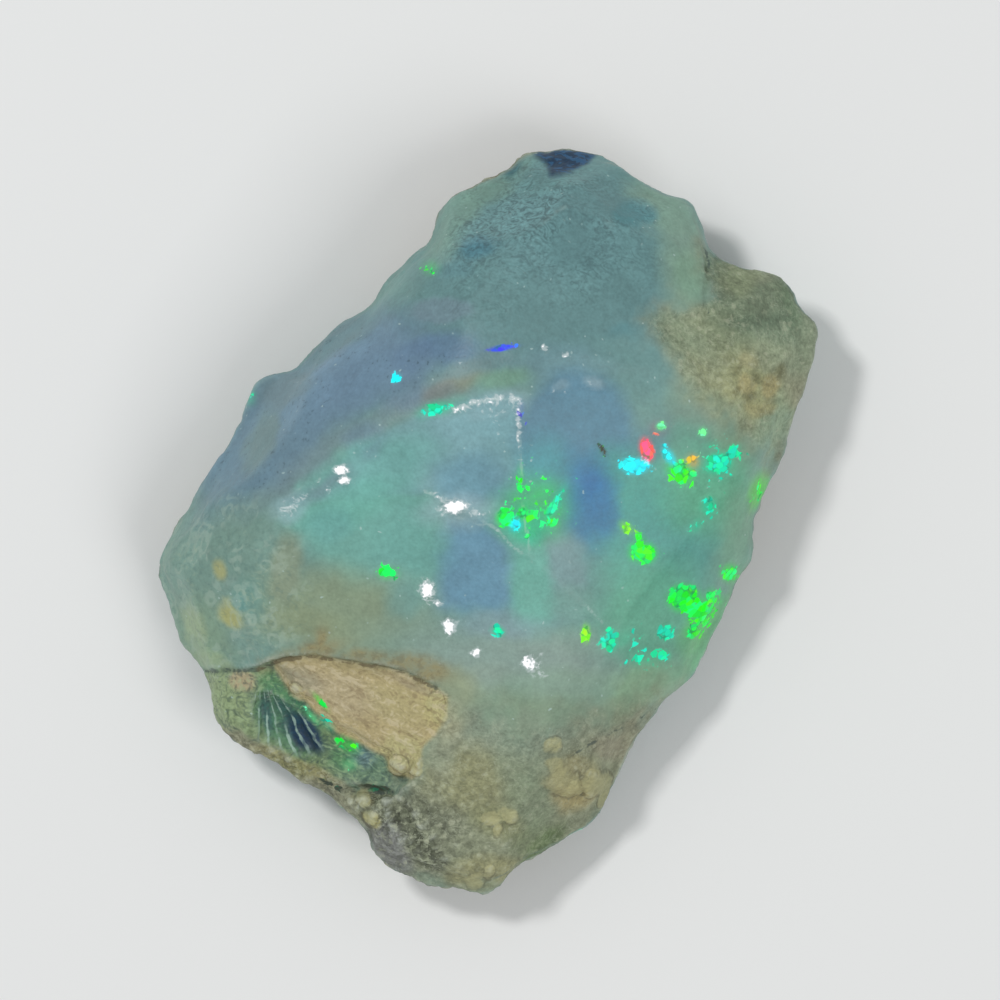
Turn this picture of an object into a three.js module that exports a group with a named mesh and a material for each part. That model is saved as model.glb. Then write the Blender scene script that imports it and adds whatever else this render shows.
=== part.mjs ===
// A rough fire opal: one broken piece of milky blue-green opal with tan host rock grown into it.
// Millimetres, +Z up. The stone lies on a flat break, with the origin under the middle of its
// bounding box: +Y runs along its length and +X across its width.
import * as THREE from "three";

// Driving dimensions.
const CREST_HEIGHT = 8.8; // from the surface it rests on to the highest point
const POINT_SPACING = 0.62; // between neighbouring points of the faceted skin
const TOP_RINGS = 24; // rings of points from the crest to the widest contour
const UNDER_RINGS = 17; // rings of points from the widest contour to the middle of the base
const SHOULDER = 7; // higher is a flatter top with a squarer shoulder
const UNDERCUT = 4; // the same for the underside
const BASE_CUT = 0.3; // height of the curved underside that the flat break took away
const LEAST_ABOVE = 0.6; // of stone above the widest contour, short of its edge
const LEAST_BELOW = 0.4; // the same below it
const BASE_TOLERANCE = 0.02; // lower than this is part of the flat base
const BASE_FADE = 1.2; // the skin is smooth at the base and fully uneven this far above it

// The skin's unevenness, coarse and finer: bumps size mm across that stand height mm high.
const LUMPS = [
  { size: 3.1, height: 0.14 },
  { size: 1.3, height: 0.07 },
];

// The widest contour seen from above, counter-clockwise.
const OUTLINE = [
  [9, 0], [10.1, 2.6], [11.3, 6.5], [11, 6.9], [10.5, 7.2], [10.3, 7.9], [9.9, 8.3], [9.6, 8.5],
  [8.7, 8.6], [7.6, 9.1], [6.9, 10.8], [5.7, 11.3], [3.8, 12.5], [3, 12.65], [1.3, 12.5], [0.5, 11.9],
  [-1.2, 11.1], [-1.6, 10.7], [-2, 9.3], [-2.5, 9.2], [-3.7, 8], [-3.9, 7.5], [-5, 6.8], [-6.6, 5.2],
  [-7.6, 5], [-8, 4.7], [-8.7, 3.1], [-11.2, -1], [-11.3, -1.5], [-11.3, -2], [-10.8, -3.1], [-10.7, -3.8],
  [-9.7, -5.1], [-9.3, -6.2], [-9.3, -6.7], [-8.9, -7.3], [-8.4, -7.7], [-7.5, -8], [-6.1, -9],
  [-5.5, -9.2], [-4.3, -10.1], [-3.6, -11.7], [-2.3, -12.3], [-0.4, -12.65], [0.1, -12.6], [1, -11.7],
  [3.4, -10.3], [3.9, -9.7], [4.7, -7.8], [6.1, -6], [6.9, -5.4], [8.6, -1.7], [9, -1.3],
];

// Height of the widest contour, at bearings counter-clockwise from +X.
const RIM = [
  [0, 3.1], [35, 3.7], [75, 2.7], [120, 2.2], [160, 2.6],
  [195, 2.1], [235, 2.5], [270, 1.8], [315, 2.9], [360, 3.1],
];

// The broken faces of the top meet near this point. Each drops by drop mm per mm towards its bearing,
// beyond a distance from the point.
const APEX = { x: 1.0, y: 4.2 };
const TOP_FACES = [
  { bearing: 78, from: 0, drop: 0.2 }, // the far upper face
  { bearing: 150, from: 2.0, drop: 0.57 }, // the blue band, along the long left edge
  { bearing: 240, from: 0, drop: 0.27 }, // the sea-green face
  { bearing: 318, from: 0, drop: 0.35 }, // the near right face
  { bearing: 12, from: 0, drop: 0.27 }, // towards the block at the right
];

// The underside rises from the base along these bearings, beyond a distance from the origin.
const UNDER_FACES = [
  { bearing: 5, from: 6.0, rise: 0.45 },
  { bearing: 50, from: 7.0, rise: 0.33 },
  { bearing: 95, from: 7.4, rise: 0.25 },
  { bearing: 145, from: 5.0, rise: 0.33 },
  { bearing: 190, from: 7.0, rise: 0.28 },
  { bearing: 232, from: 6.6, rise: 0.27 },
  { bearing: 275, from: 7.6, rise: 0.18 },
  { bearing: 325, from: 4.6, rise: 0.5 },
];

// Parts of the top that have broken away lower. Each wall takes up slope mm inside its edge.
const BREAKS = [
  {
    // the hollow with the tan host rock, under a ledge
    depth: 1.05,
    slope: 0.45,
    edge: [
      [-11.5, -5.0], [-9.6, -5.1], [-8.4, -5.15], [-7.6, -5.0], [-6.7, -4.6], [-5.7, -4.5], [-4.7, -4.7],
      [-2.7, -5.1], [-1.6, -5.6], [-1.3, -6.3], [-1.6, -7.2], [-2.4, -8.3], [-3.3, -9.0],
      [-6.0, -11.0], [-11.0, -9.0],
    ],
  },
  {
    // the ribbed shell break inside it
    depth: 0.7,
    slope: 0.6,
    edge: [
      [-7.9, -5.7], [-7.0, -5.5], [-6.3, -6.1], [-5.4, -7.2],
      [-4.6, -8.0], [-5.2, -8.3], [-6.4, -8.0], [-7.6, -7.0],
    ],
  },
  {
    // the glassy chip at the far end
    depth: 1.1,
    slope: 0.5,
    edge: [[1.3, 13.0], [1.7, 12.3], [2.0, 11.6], [2.5, 11.7], [3.2, 12.0], [3.7, 12.4], [3.9, 13.0]],
  },
  {
    // the block of host rock at the right, below the face beside it
    depth: 0.55,
    slope: 0.5,
    edge: [
      [7.5, 10.2], [7.2, 8.0], [7.15, 6.2], [6.0, 6.0], [5.4, 5.6], [6.4, 4.4],
      [7.6, 3.3], [8.8, 2.5], [11.0, 1.0], [13.0, 8.0], [9.0, 11.0],
    ],
  },
  {
    // the small step at the near right
    depth: 0.6,
    slope: 0.5,
    edge: [
      [7.0, -5.6], [5.4, -6.9], [4.5, -7.0], [3.0, -7.7],
      [1.9, -8.3], [2.6, -9.5], [3.0, -11.5], [7.0, -9.5],
    ],
  },
];

// Shell-shaped breaks in the sides: around is the share of the way round the outline, and out the share
// of the way out to it. Each is the hollow that a sphere leaves, width mm across and depth mm deep.
const SCOOPS = [
  { around: 0.04, out: 0.94, isTop: true, width: 3.6, depth: 0.42 },
  { around: 0.18, out: 0.93, isTop: true, width: 3.2, depth: 0.4 },
  { around: 0.3, out: 0.93, isTop: true, width: 3.4, depth: 0.35 },
  { around: 0.4, out: 0.92, isTop: true, width: 4.6, depth: 0.5 },
  { around: 0.5, out: 0.93, isTop: true, width: 3.4, depth: 0.35 },
  { around: 0.87, out: 0.95, isTop: true, width: 2.4, depth: 0.2 },
  { around: 0.94, out: 0.945, isTop: true, width: 3.6, depth: 0.36 },
  { around: 0.98, out: 0.82, isTop: false, width: 5.2, depth: 0.5 },
  { around: 0.12, out: 0.87, isTop: false, width: 4.4, depth: 0.45 },
  { around: 0.24, out: 0.84, isTop: false, width: 5.4, depth: 0.5 },
  { around: 0.43, out: 0.84, isTop: false, width: 5.6, depth: 0.55 },
  { around: 0.6, out: 0.86, isTop: false, width: 4.6, depth: 0.45 },
  { around: 0.73, out: 0.85, isTop: false, width: 4.8, depth: 0.4 },
];

const { clamp, degToRad, lerp, radToDeg, smoothstep } = THREE.MathUtils;

const corners = OUTLINE.map(([x, y]) => new THREE.Vector2(x, y));
const outlinePath = new THREE.CurvePath();
corners.forEach((corner, i) => {
  outlinePath.add(new THREE.LineCurve(corner, corners[(i + 1) % corners.length]));
});
const outlineLength = outlinePath.getLength();

// Height of the widest contour at a bearing, eased between the stated ones.
function rimHeight(bearing) {
  const turn = (bearing + 360) % 360;
  const next = RIM.findIndex(([at]) => at > turn);
  const [[from, low], [to, high]] = [RIM[next - 1], RIM[next]];
  return lerp(low, high, smoothstep(turn, from, to));
}

// How far a point lies towards a bearing.
function along(bearing, x, y) {
  return x * Math.cos(degToRad(bearing)) + y * Math.sin(degToRad(bearing));
}

// Distance from a point to a closed edge, positive inside it.
function depthInside(edge, x, y) {
  const point = new THREE.Vector3(x, y, 0);
  const near = new THREE.Vector3();
  let closest = Infinity;
  let inside = false;
  edge.forEach(([x1, y1], i) => {
    const [x2, y2] = edge[(i + 1) % edge.length];
    const side = new THREE.Line3(new THREE.Vector3(x1, y1, 0), new THREE.Vector3(x2, y2, 0));
    closest = Math.min(closest, side.closestPointToPoint(point, true, near).distanceTo(point));
    if (y1 > y !== y2 > y && x < ((x2 - x1) * (y - y1)) / (y2 - y1) + x1) inside = !inside;
  });
  return inside ? closest : -closest;
}

// Height of the broken top at a place, before it turns down to the widest contour.
function topHeight(x, y) {
  const drops = TOP_FACES.map(({ bearing, from, drop }) => {
    return drop * (along(bearing, x - APEX.x, y - APEX.y) - from);
  });
  const broken = BREAKS.reduce((sum, { depth, slope, edge }) => {
    return sum + depth * smoothstep(depthInside(edge, x, y), 0, slope);
  }, 0);
  return CREST_HEIGHT - Math.max(0, ...drops) - broken;
}

// Height of the underside at a place, before it turns up to the widest contour.
function underHeight(x, y) {
  return Math.max(0, ...UNDER_FACES.map(({ bearing, from, rise }) => rise * (along(bearing, x, y) - from)));
}

// A repeatable number from -1 to 1 for each cell of a grid: the fraction of a large, fast-changing sine.
const MIXER = new THREE.Vector3(127.1, 311.7, 74.7);
const MIXER_SCALE = 43758.5453;

function cellValue(cell) {
  const value = MIXER_SCALE * Math.sin(cell.dot(MIXER));
  return 2 * (value - Math.floor(value)) - 1;
}

// Smooth unevenness from -1 to 1, whose bumps are about size mm across.
function unevenness(point, size) {
  const base = point.clone().divideScalar(size).floor();
  const within = point.clone().divideScalar(size).sub(base);
  const weight = (far, t) => smoothstep(far ? t : 1 - t, 0, 1);
  let total = 0;
  for (let corner = 0; corner < 8; corner += 1) {
    const step = new THREE.Vector3(corner & 1, (corner >> 1) & 1, corner >> 2);
    const share = weight(step.x, within.x) * weight(step.y, within.y) * weight(step.z, within.z);
    total += share * cellValue(step.add(base));
  }
  return total;
}

// The skin before the scoops, at a share of the way round the outline and of the way out to it.
function plainSkin(around, out, isTop) {
  const rim = outlinePath.getPointAt(around);
  const rimZ = rimHeight(radToDeg(rim.angle()));
  const [x, y] = [rim.x * out, rim.y * out];
  const above = Math.max(topHeight(x, y), rimZ + LEAST_ABOVE);
  const below = Math.min(underHeight(x, y) - BASE_CUT, rimZ - LEAST_BELOW);
  const turned = Math.sqrt(1 - out ** (isTop ? SHOULDER : UNDERCUT));
  return new THREE.Vector3(x, y, Math.max(0, lerp(rimZ, isTop ? above : below, turned)));
}

// The sphere that leaves a scoop.
function scoopSphere({ around, out, isTop, width, depth }) {
  const radius = (width * width) / (8 * depth) + depth / 2;
  const middle = plainSkin(around, out, isTop);
  const alongRim = plainSkin(around + 0.01, out, isTop).sub(middle);
  const outward = plainSkin(around, out + 0.01, isTop).sub(middle).cross(alongRim).setLength(radius - depth);
  return new THREE.Sphere(middle.addScaledVector(outward, isTop ? 1 : -1), radius);
}

const scoops = SCOOPS.map(scoopSphere);

// The finished skin: out of each scoop's sphere, and uneven except on the base and the widest contour.
function skinPoint(around, out, isTop) {
  const point = plainSkin(around, out, isTop);
  scoops.filter((scoop) => scoop.containsPoint(point)).forEach(({ center, radius }) => {
    point.sub(center).setLength(radius).add(center);
  });
  const outward = new THREE.Vector3(point.x, point.y, 0).setLength(clamp(2 * (1 - out), 0, 0.5));
  outward.z = (isTop ? 1 : -1) * (1 - out ** 8);
  const lump = LUMPS.reduce((sum, { size, height }) => sum + height * unevenness(point, size), 0);
  point.addScaledVector(outward, lump * smoothstep(point.z, 0, BASE_FADE));
  if (point.z < BASE_TOLERANCE) point.z = 0;
  return point;
}

// The shares of the way round at the outline's corners, which the outermost ring keeps.
function cornerShares() {
  return [0, ...outlinePath.getCurveLengths().slice(0, -1)].map((length) => length / outlineLength);
}

// One ring of points, each with its share of the way round.
function ring(out, isTop) {
  const count = Math.max(6, Math.round((outlineLength * out) / POINT_SPACING));
  const shares = out === 1 ? cornerShares() : Array.from({ length: count }, (_, i) => i / count);
  return shares.map((share) => ({ share, point: skinPoint(share, out, isTop) }));
}

// Rings from the crest out to the widest contour, then in again to the middle of the base. They crowd
// towards the widest contour, where the skin turns over.
function rings() {
  const outAt = (i, count) => Math.sin((Math.PI / 2) * (i / count));
  const list = [];
  for (let i = 1; i < TOP_RINGS; i += 1) list.push(ring(outAt(i, TOP_RINGS), true));
  list.push(ring(1, true));
  for (let i = UNDER_RINGS - 1; i >= 1; i -= 1) list.push(ring(outAt(i, UNDER_RINGS), false));
  return list;
}

// Triangles between two rings: each takes its next point from the ring whose next point comes first.
function stitched(upper, lower, starts) {
  const faces = [];
  let [i, j] = [0, 0];
  while (i < upper.length || j < lower.length) {
    const nextUpper = i + 1 < upper.length ? upper[i + 1].share : 1;
    const nextLower = j + 1 < lower.length ? lower[j + 1].share : 1;
    const a = starts[0] + (i % upper.length);
    const b = starts[1] + (j % lower.length);
    if (j === lower.length || (i < upper.length && nextUpper <= nextLower)) {
      faces.push([a, b, starts[0] + ((i + 1) % upper.length)]);
      i += 1;
    } else {
      faces.push([a, b, starts[1] + ((j + 1) % lower.length)]);
      j += 1;
    }
  }
  return faces;
}

// The closed skin, its triangles facing out.
function stoneGeometry() {
  const list = rings();
  const points = list.flatMap((each) => each.map(({ point }) => point));
  const starts = list.map((_, i) => list.slice(0, i).reduce((sum, each) => sum + each.length, 0));
  const crest = points.push(skinPoint(0, 0, true)) - 1;
  const base = points.push(skinPoint(0, 0, false)) - 1;
  const faces = list[0].map((_, i) => [crest, starts[0] + i, starts[0] + ((i + 1) % list[0].length)]);
  for (let i = 0; i + 1 < list.length; i += 1) {
    faces.push(...stitched(list[i], list[i + 1], [starts[i], starts[i + 1]]));
  }
  const last = list.length - 1;
  list[last].forEach((_, i) => {
    faces.push([base, starts[last] + ((i + 1) % list[last].length), starts[last] + i]);
  });
  const geometry = new THREE.BufferGeometry().setFromPoints(points).setIndex(faces.flat());
  geometry.computeVertexNormals();
  return geometry;
}

const opal = new THREE.MeshStandardMaterial({ color: 0x7c9c94, roughness: 0.25, metalness: 0 });
const stone = new THREE.Mesh(stoneGeometry(), opal);
stone.name = "rough_opal";

const part = new THREE.Group();
part.add(stone);

export default part;
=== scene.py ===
import functools
import itertools
import math
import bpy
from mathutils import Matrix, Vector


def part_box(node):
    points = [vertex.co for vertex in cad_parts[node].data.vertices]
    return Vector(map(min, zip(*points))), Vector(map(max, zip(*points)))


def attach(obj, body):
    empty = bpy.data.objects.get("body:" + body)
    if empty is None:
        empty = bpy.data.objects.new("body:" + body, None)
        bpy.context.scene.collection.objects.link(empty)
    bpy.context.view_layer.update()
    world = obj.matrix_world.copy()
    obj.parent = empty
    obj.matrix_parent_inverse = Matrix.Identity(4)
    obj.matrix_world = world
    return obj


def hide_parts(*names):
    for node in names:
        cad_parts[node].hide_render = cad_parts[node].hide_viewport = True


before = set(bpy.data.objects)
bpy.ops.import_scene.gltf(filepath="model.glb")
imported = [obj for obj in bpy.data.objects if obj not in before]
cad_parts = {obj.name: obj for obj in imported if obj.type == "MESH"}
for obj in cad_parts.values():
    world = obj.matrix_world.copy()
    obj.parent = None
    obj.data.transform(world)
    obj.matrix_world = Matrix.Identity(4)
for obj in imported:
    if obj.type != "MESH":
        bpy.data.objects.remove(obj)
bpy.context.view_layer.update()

import types

import bmesh
import bpy
import numpy as np
from mathutils import Vector

# A rough fire opal: a broken piece of milky blue-green opal with tan host rock grown into it.
# Places on the stone are in millimetres from the middle of its box, seen from above, X then Y.

MM = 0.001
NODE = "rough_opal"
LOW, HIGH = (np.array(corner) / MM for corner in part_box(NODE))
MIDDLE = (LOW + HIGH) / 2
CONTOUR_STOPS = 300  # bearings at which the widest contour is read off the CAD solid

SHAPING_GRID = 0.15  # mm between the points that take the large breaks
SHAPING_PASSES = 8  # of smoothing, to take the facets off the CAD solid
SKIN_GRID = 0.117  # mm between the points of the finished skin
SKIN_PASSES = 3  # of smoothing, to take the grid's steps off the skin
FAR_AWAY = 2.0  # mm, the most that a distance to a line is painted as

# The broken faces of the top meet near this point. Each drops by mm per mm towards its bearing, beyond
# a distance from the point.
APEX = (1.0, 4.2)
CREST_HEIGHT = HIGH[2] + 0.1
SHOULDER = 8
RIDGE_ROUNDING = 0.1
TOP_FACES = [
    (78, 0.0, 0.2),
    (150, 2.0, 0.57),
    (240, 0.0, 0.27),
    (318, 0.0, 0.35),
    (12, 0.0, 0.27),
]

# The edge of the ledge over the hollow, from the left side of the stone inwards.
LEDGE = [
    (-10.2, -5.05), (-9.6, -5.1), (-8.45, -5.12), (-7.6, -4.95), (-6.75, -4.6), (-5.75, -4.5),
    (-4.7, -4.68), (-3.7, -4.9), (-2.65, -5.12), (-1.75, -5.6),
]
HOLLOW = LEDGE + [
    (-1.35, -5.9), (-1.4, -6.6), (-1.75, -7.2), (-2.2, -7.6), (-2.35, -8.5), (-3.4, -9.3), (-6.0, -11.0),
    (-11.0, -9.0),
]
TONGUE = [
    (-7.3, -5.0), (-7.0, -4.0), (-5.7, -3.6), (-4.7, -3.8), (-2.7, -4.3), (-1.0, -4.8), (-0.6, -6.5),
    (-1.1, -7.4), (-1.9, -7.9), (-2.1, -8.7), (-3.2, -8.6), (-3.5, -7.9), (-4.4, -7.5), (-5.2, -7.1),
    (-6.1, -6.2), (-6.75, -5.7),
]
RIBBED_BREAK = [
    (-7.97, -5.78), (-7.43, -5.71), (-6.68, -6.26), (-6, -6.8), (-5.66, -7.75), (-6.41, -7.89),
    (-7.7, -7.34),
]
CRUST = [(-9.4, -7.2), (-8.3, -7.7), (-7.1, -8.1), (-6.1, -8.6), (-5.1, -9.1), (-4.4, -10.0)]
RIGHT_ROCK = [
    (5.42, 6.8), (6.1, 7.14), (6.85, 7.34), (7.33, 7.55), (7.4, 9.18), (8.21, 9.59), (10.59, 9.25),
    (12.29, 6.53), (10.93, 4.15), (9.74, 2.28), (8.96, 2.52), (8.04, 3.64), (7.19, 4.42), (6.38, 5.44),
    (5.7, 6.12),
]
PITTED_BLOCK = [
    (7.4, 9.25), (7.6, 7.89), (7.74, 6.7), (8.38, 6.26), (9.23, 6.12), (10.25, 5.78), (12.29, 5.85),
    (10.59, 9.59),
]
NEAR_ROCK = [
    (-1.79, -6.05), (0.05, -6.6), (1.75, -6.8), (3.79, -6.6), (5.15, -5.85), (6.51, -5.71), (5.15, -9.45),
    (2.43, -12.85), (-5.05, -12.85), (-5.39, -9.45), (-3.69, -9.11), (-2.6, -8.43), (-1.99, -7.48),
]
CRUMBLY_ROCK = [
    (-4.64, -8.77), (-3.28, -8.98), (-2.4, -9.45), (-1.65, -10.47), (-1.24, -11.56), (-1.99, -12.17),
    (-2.87, -11.15), (-3.83, -10.2),
]
NEAR_STEP = [
    (6.85, -5.71), (5.36, -6.87), (4.27, -7.31), (3.25, -7.62), (2.3, -7.82), (1.92, -8.23), (2.16, -9.45),
    (2.94, -11.15), (7.19, -9.45),
]
FAR_FACE = [
    (-3.01, 7.55), (-1.99, 9.59), (-1, 11.59), (2.4, 13.19), (7.6, 10.61), (7.19, 7.99), (5.59, 6.6),
    (2.43, 6.02), (-1, 6.6),
]
VIOLET_BAND = [
    (-10.39, 0.82), (-8.21, 4.59), (-5.02, 7), (-2.81, 7.41), (-0.63, 6.8), (0.9, 6.19), (0.66, 5.44),
    (-1.31, 5.1), (-3.01, 4.42), (-4.91, 3.13), (-6.92, 1.5), (-8.79, 0.58),
]
LEFT_MARGIN = [
    (-12.0, 1.0), (-8.6, 1.0), (-6.6, -0.6), (-6.2, -2.4), (-6.6, -4.6), (-8.4, -5.1), (-12.0, -5.2),
]
FAR_CHIP = [
    (1.45, 13.33), (1.58, 12.44), (1.96, 12.21), (2.06, 11.73), (2.47, 11.76), (2.98, 11.97), (3.38, 12.24),
    (3.72, 12.65), (3.72, 13.33),
]
RIDGE_FACET = [
    (-6.82, 0.75), (-4.88, 2.07), (-3.35, 3.06), (-1.99, 3.84), (-0.46, 4.18), (1.04, 4.22), (1.14, 0.58),
    (0.8, -0.27), (-0.29, 0.07), (-1.14, 0.54), (-2.16, 1.02), (-4.03, 0.82),
]
SHELTERED_FACE = [
    (-6.82, 0.68), (-4.88, 1.77), (-2.33, 1.09), (-1.45, 0.34), (-1.24, -1.29), (-2.16, -2.65),
    (-4.88, -2.14), (-6.24, -0.78),
]
BLUE_CELL = [
    (-1.79, -1.16), (-1.24, -0.14), (-0.09, 0), (0.83, -0.78), (0.9, -2.72), (0.26, -3.06), (-1.45, -2.92),
]

HOLLOW_DEPTH = 0.7
TONGUE_HEIGHT = 0.55
# Where else the top has broken away lower: edge, depth in mm, width of its wall.
STEPS = [
    (RIBBED_BREAK, 0.5, 0.3),
    (FAR_CHIP, 1.0, 0.2),
    (RIGHT_ROCK, 0.25, 0.5),
    (NEAR_STEP, 0.4, 0.3),
]

# Cracks, as a path, depth and half width.
CRACKS = [
    (LEDGE, 0.12, 0.07),
    ([(7.33, 9.32), (7.4, 8.98), (7.43, 8.64)], 0.11, 0.1),
    ([(7.43, 8.64), (7.33, 7.82), (7.4, 7)], 0.09, 0.1),
    ([(2.64, -7.99), (3.45, -7.55), (4.2, -7.11), (5.15, -6.7), (5.76, -6.32)], 0.06, 0.12),
    ([(3.04, -9.45), (3.38, -8.7), (3.59, -7.75)], 0.05, 0.12),
    ([(-4.64, -9.11), (-3.96, -9.04), (-3.15, -9.15)], 0.3, 0.14),
]
# Thin pale lines where the opal has healed or bruised along an edge.
VEINS = [
    [(1, 4.22), (1.07, 2.45), (1.14, 0.75), (1.31, -0.27), (1.45, -1.36)],
    [(-2.19, 1.05), (-1.65, 0.85), (-0.9, 0.48), (-0.15, 0.03), (0.39, -0.31), (0.8, -0.78), (1.28, -1.16)],
    [(-1.45, 0.2), (-0.77, 0.1), (-0.15, -0.14)],
    [(2.43, -2.38), (3.25, -2.79), (3.86, -3.4)],
    [(-0.63, 4.01), (0.26, 4.15), (1, 4.18)],
    [(-7.06, 0.54), (-6.41, 1.12), (-5.66, 1.43)],
]
# Parts of the opal with a colour of their own: edge, softness, strength and colour.
FIELDS = [
    (VIOLET_BAND, 0.5, 0.9, 0x698292),
    (LEFT_MARGIN, 1.0, 0.9, 0x779388),
    (SHELTERED_FACE, 0.6, 0.85, 0x70A398),
    (RIDGE_FACET, 0.2, 0.85, 0x75999D),
    (BLUE_CELL, 0.4, 0.75, 0x688EA8),
]
RICHNESS = 1.1
BRIGHTNESS = 0.99
# How much brighter the colour is painted where the surface turns steep: painted light.
PAINTED_EDGE_LIGHT = 0.22
GRAIN_SIZE = 0.46  # mm across a grain of the host rock
STRIATION_SPACING = 0.42  # mm from one striation of the tongue to the next
ACROSS_STRIATIONS = (0.447, 0.894)
RIB_FAN = (-7.7, -4.76)  # the point that the ribs of the shell break fan out from
GLINT_LEAN = (0.26, -0.2)  # mm per mm that a glinting break leans towards +X and +Y
# Where the shell breaks on the sides began, and the spacing of their ripples in mm.
RIPPLE_STARTS = [(-9.0, 8.0, 4.0), (10.5, -3.0, 2.0), (1.0, 14.0, 2.0), (-9.0, -10.0, 1.0)]
RIPPLE_SPACING = 0.55
# The edge that runs up the lit side of the band, where the opal's teal is painted lighter as a painted
# highlight.
LIT_RIDGE_HIGHLIGHT = [(-6.41, 1.09), (-4.88, 2.04), (-3.76, 2.79), (-2.6, 3.47), (-1.79, 3.81), (-0.9, 4.08)]

# Curved ridges that stand on the faces, as a path, height and reach.
WELTS = [
    ([(-2.3, 1.1), (-1.14, 0.58), (0.39, -0.27), (1.41, -1.12), (2.77, -2.31), (3.79, -3.33)], 0.12, 0.9),
    ([(0.9, 5.6), (3.0, 5.7), (5.4, 5.2)], 0.05, 0.6),
]

# Chips knocked off the sides: how many, how deep in mm, their tilts in degrees, and how big the ball is
# that each one's hollow is a part of.
CHIPS = [
    (13, (0.3, 0.7), (15, 48), (7, 60)),
    (9, (0.1, 0.3), (50, 68), (9, 60)),
    (17, (0.3, 0.8), (-48, -8), (4, 20)),
    (11, (0.2, 0.5), (-75, -45), (5, 30)),
]

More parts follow.
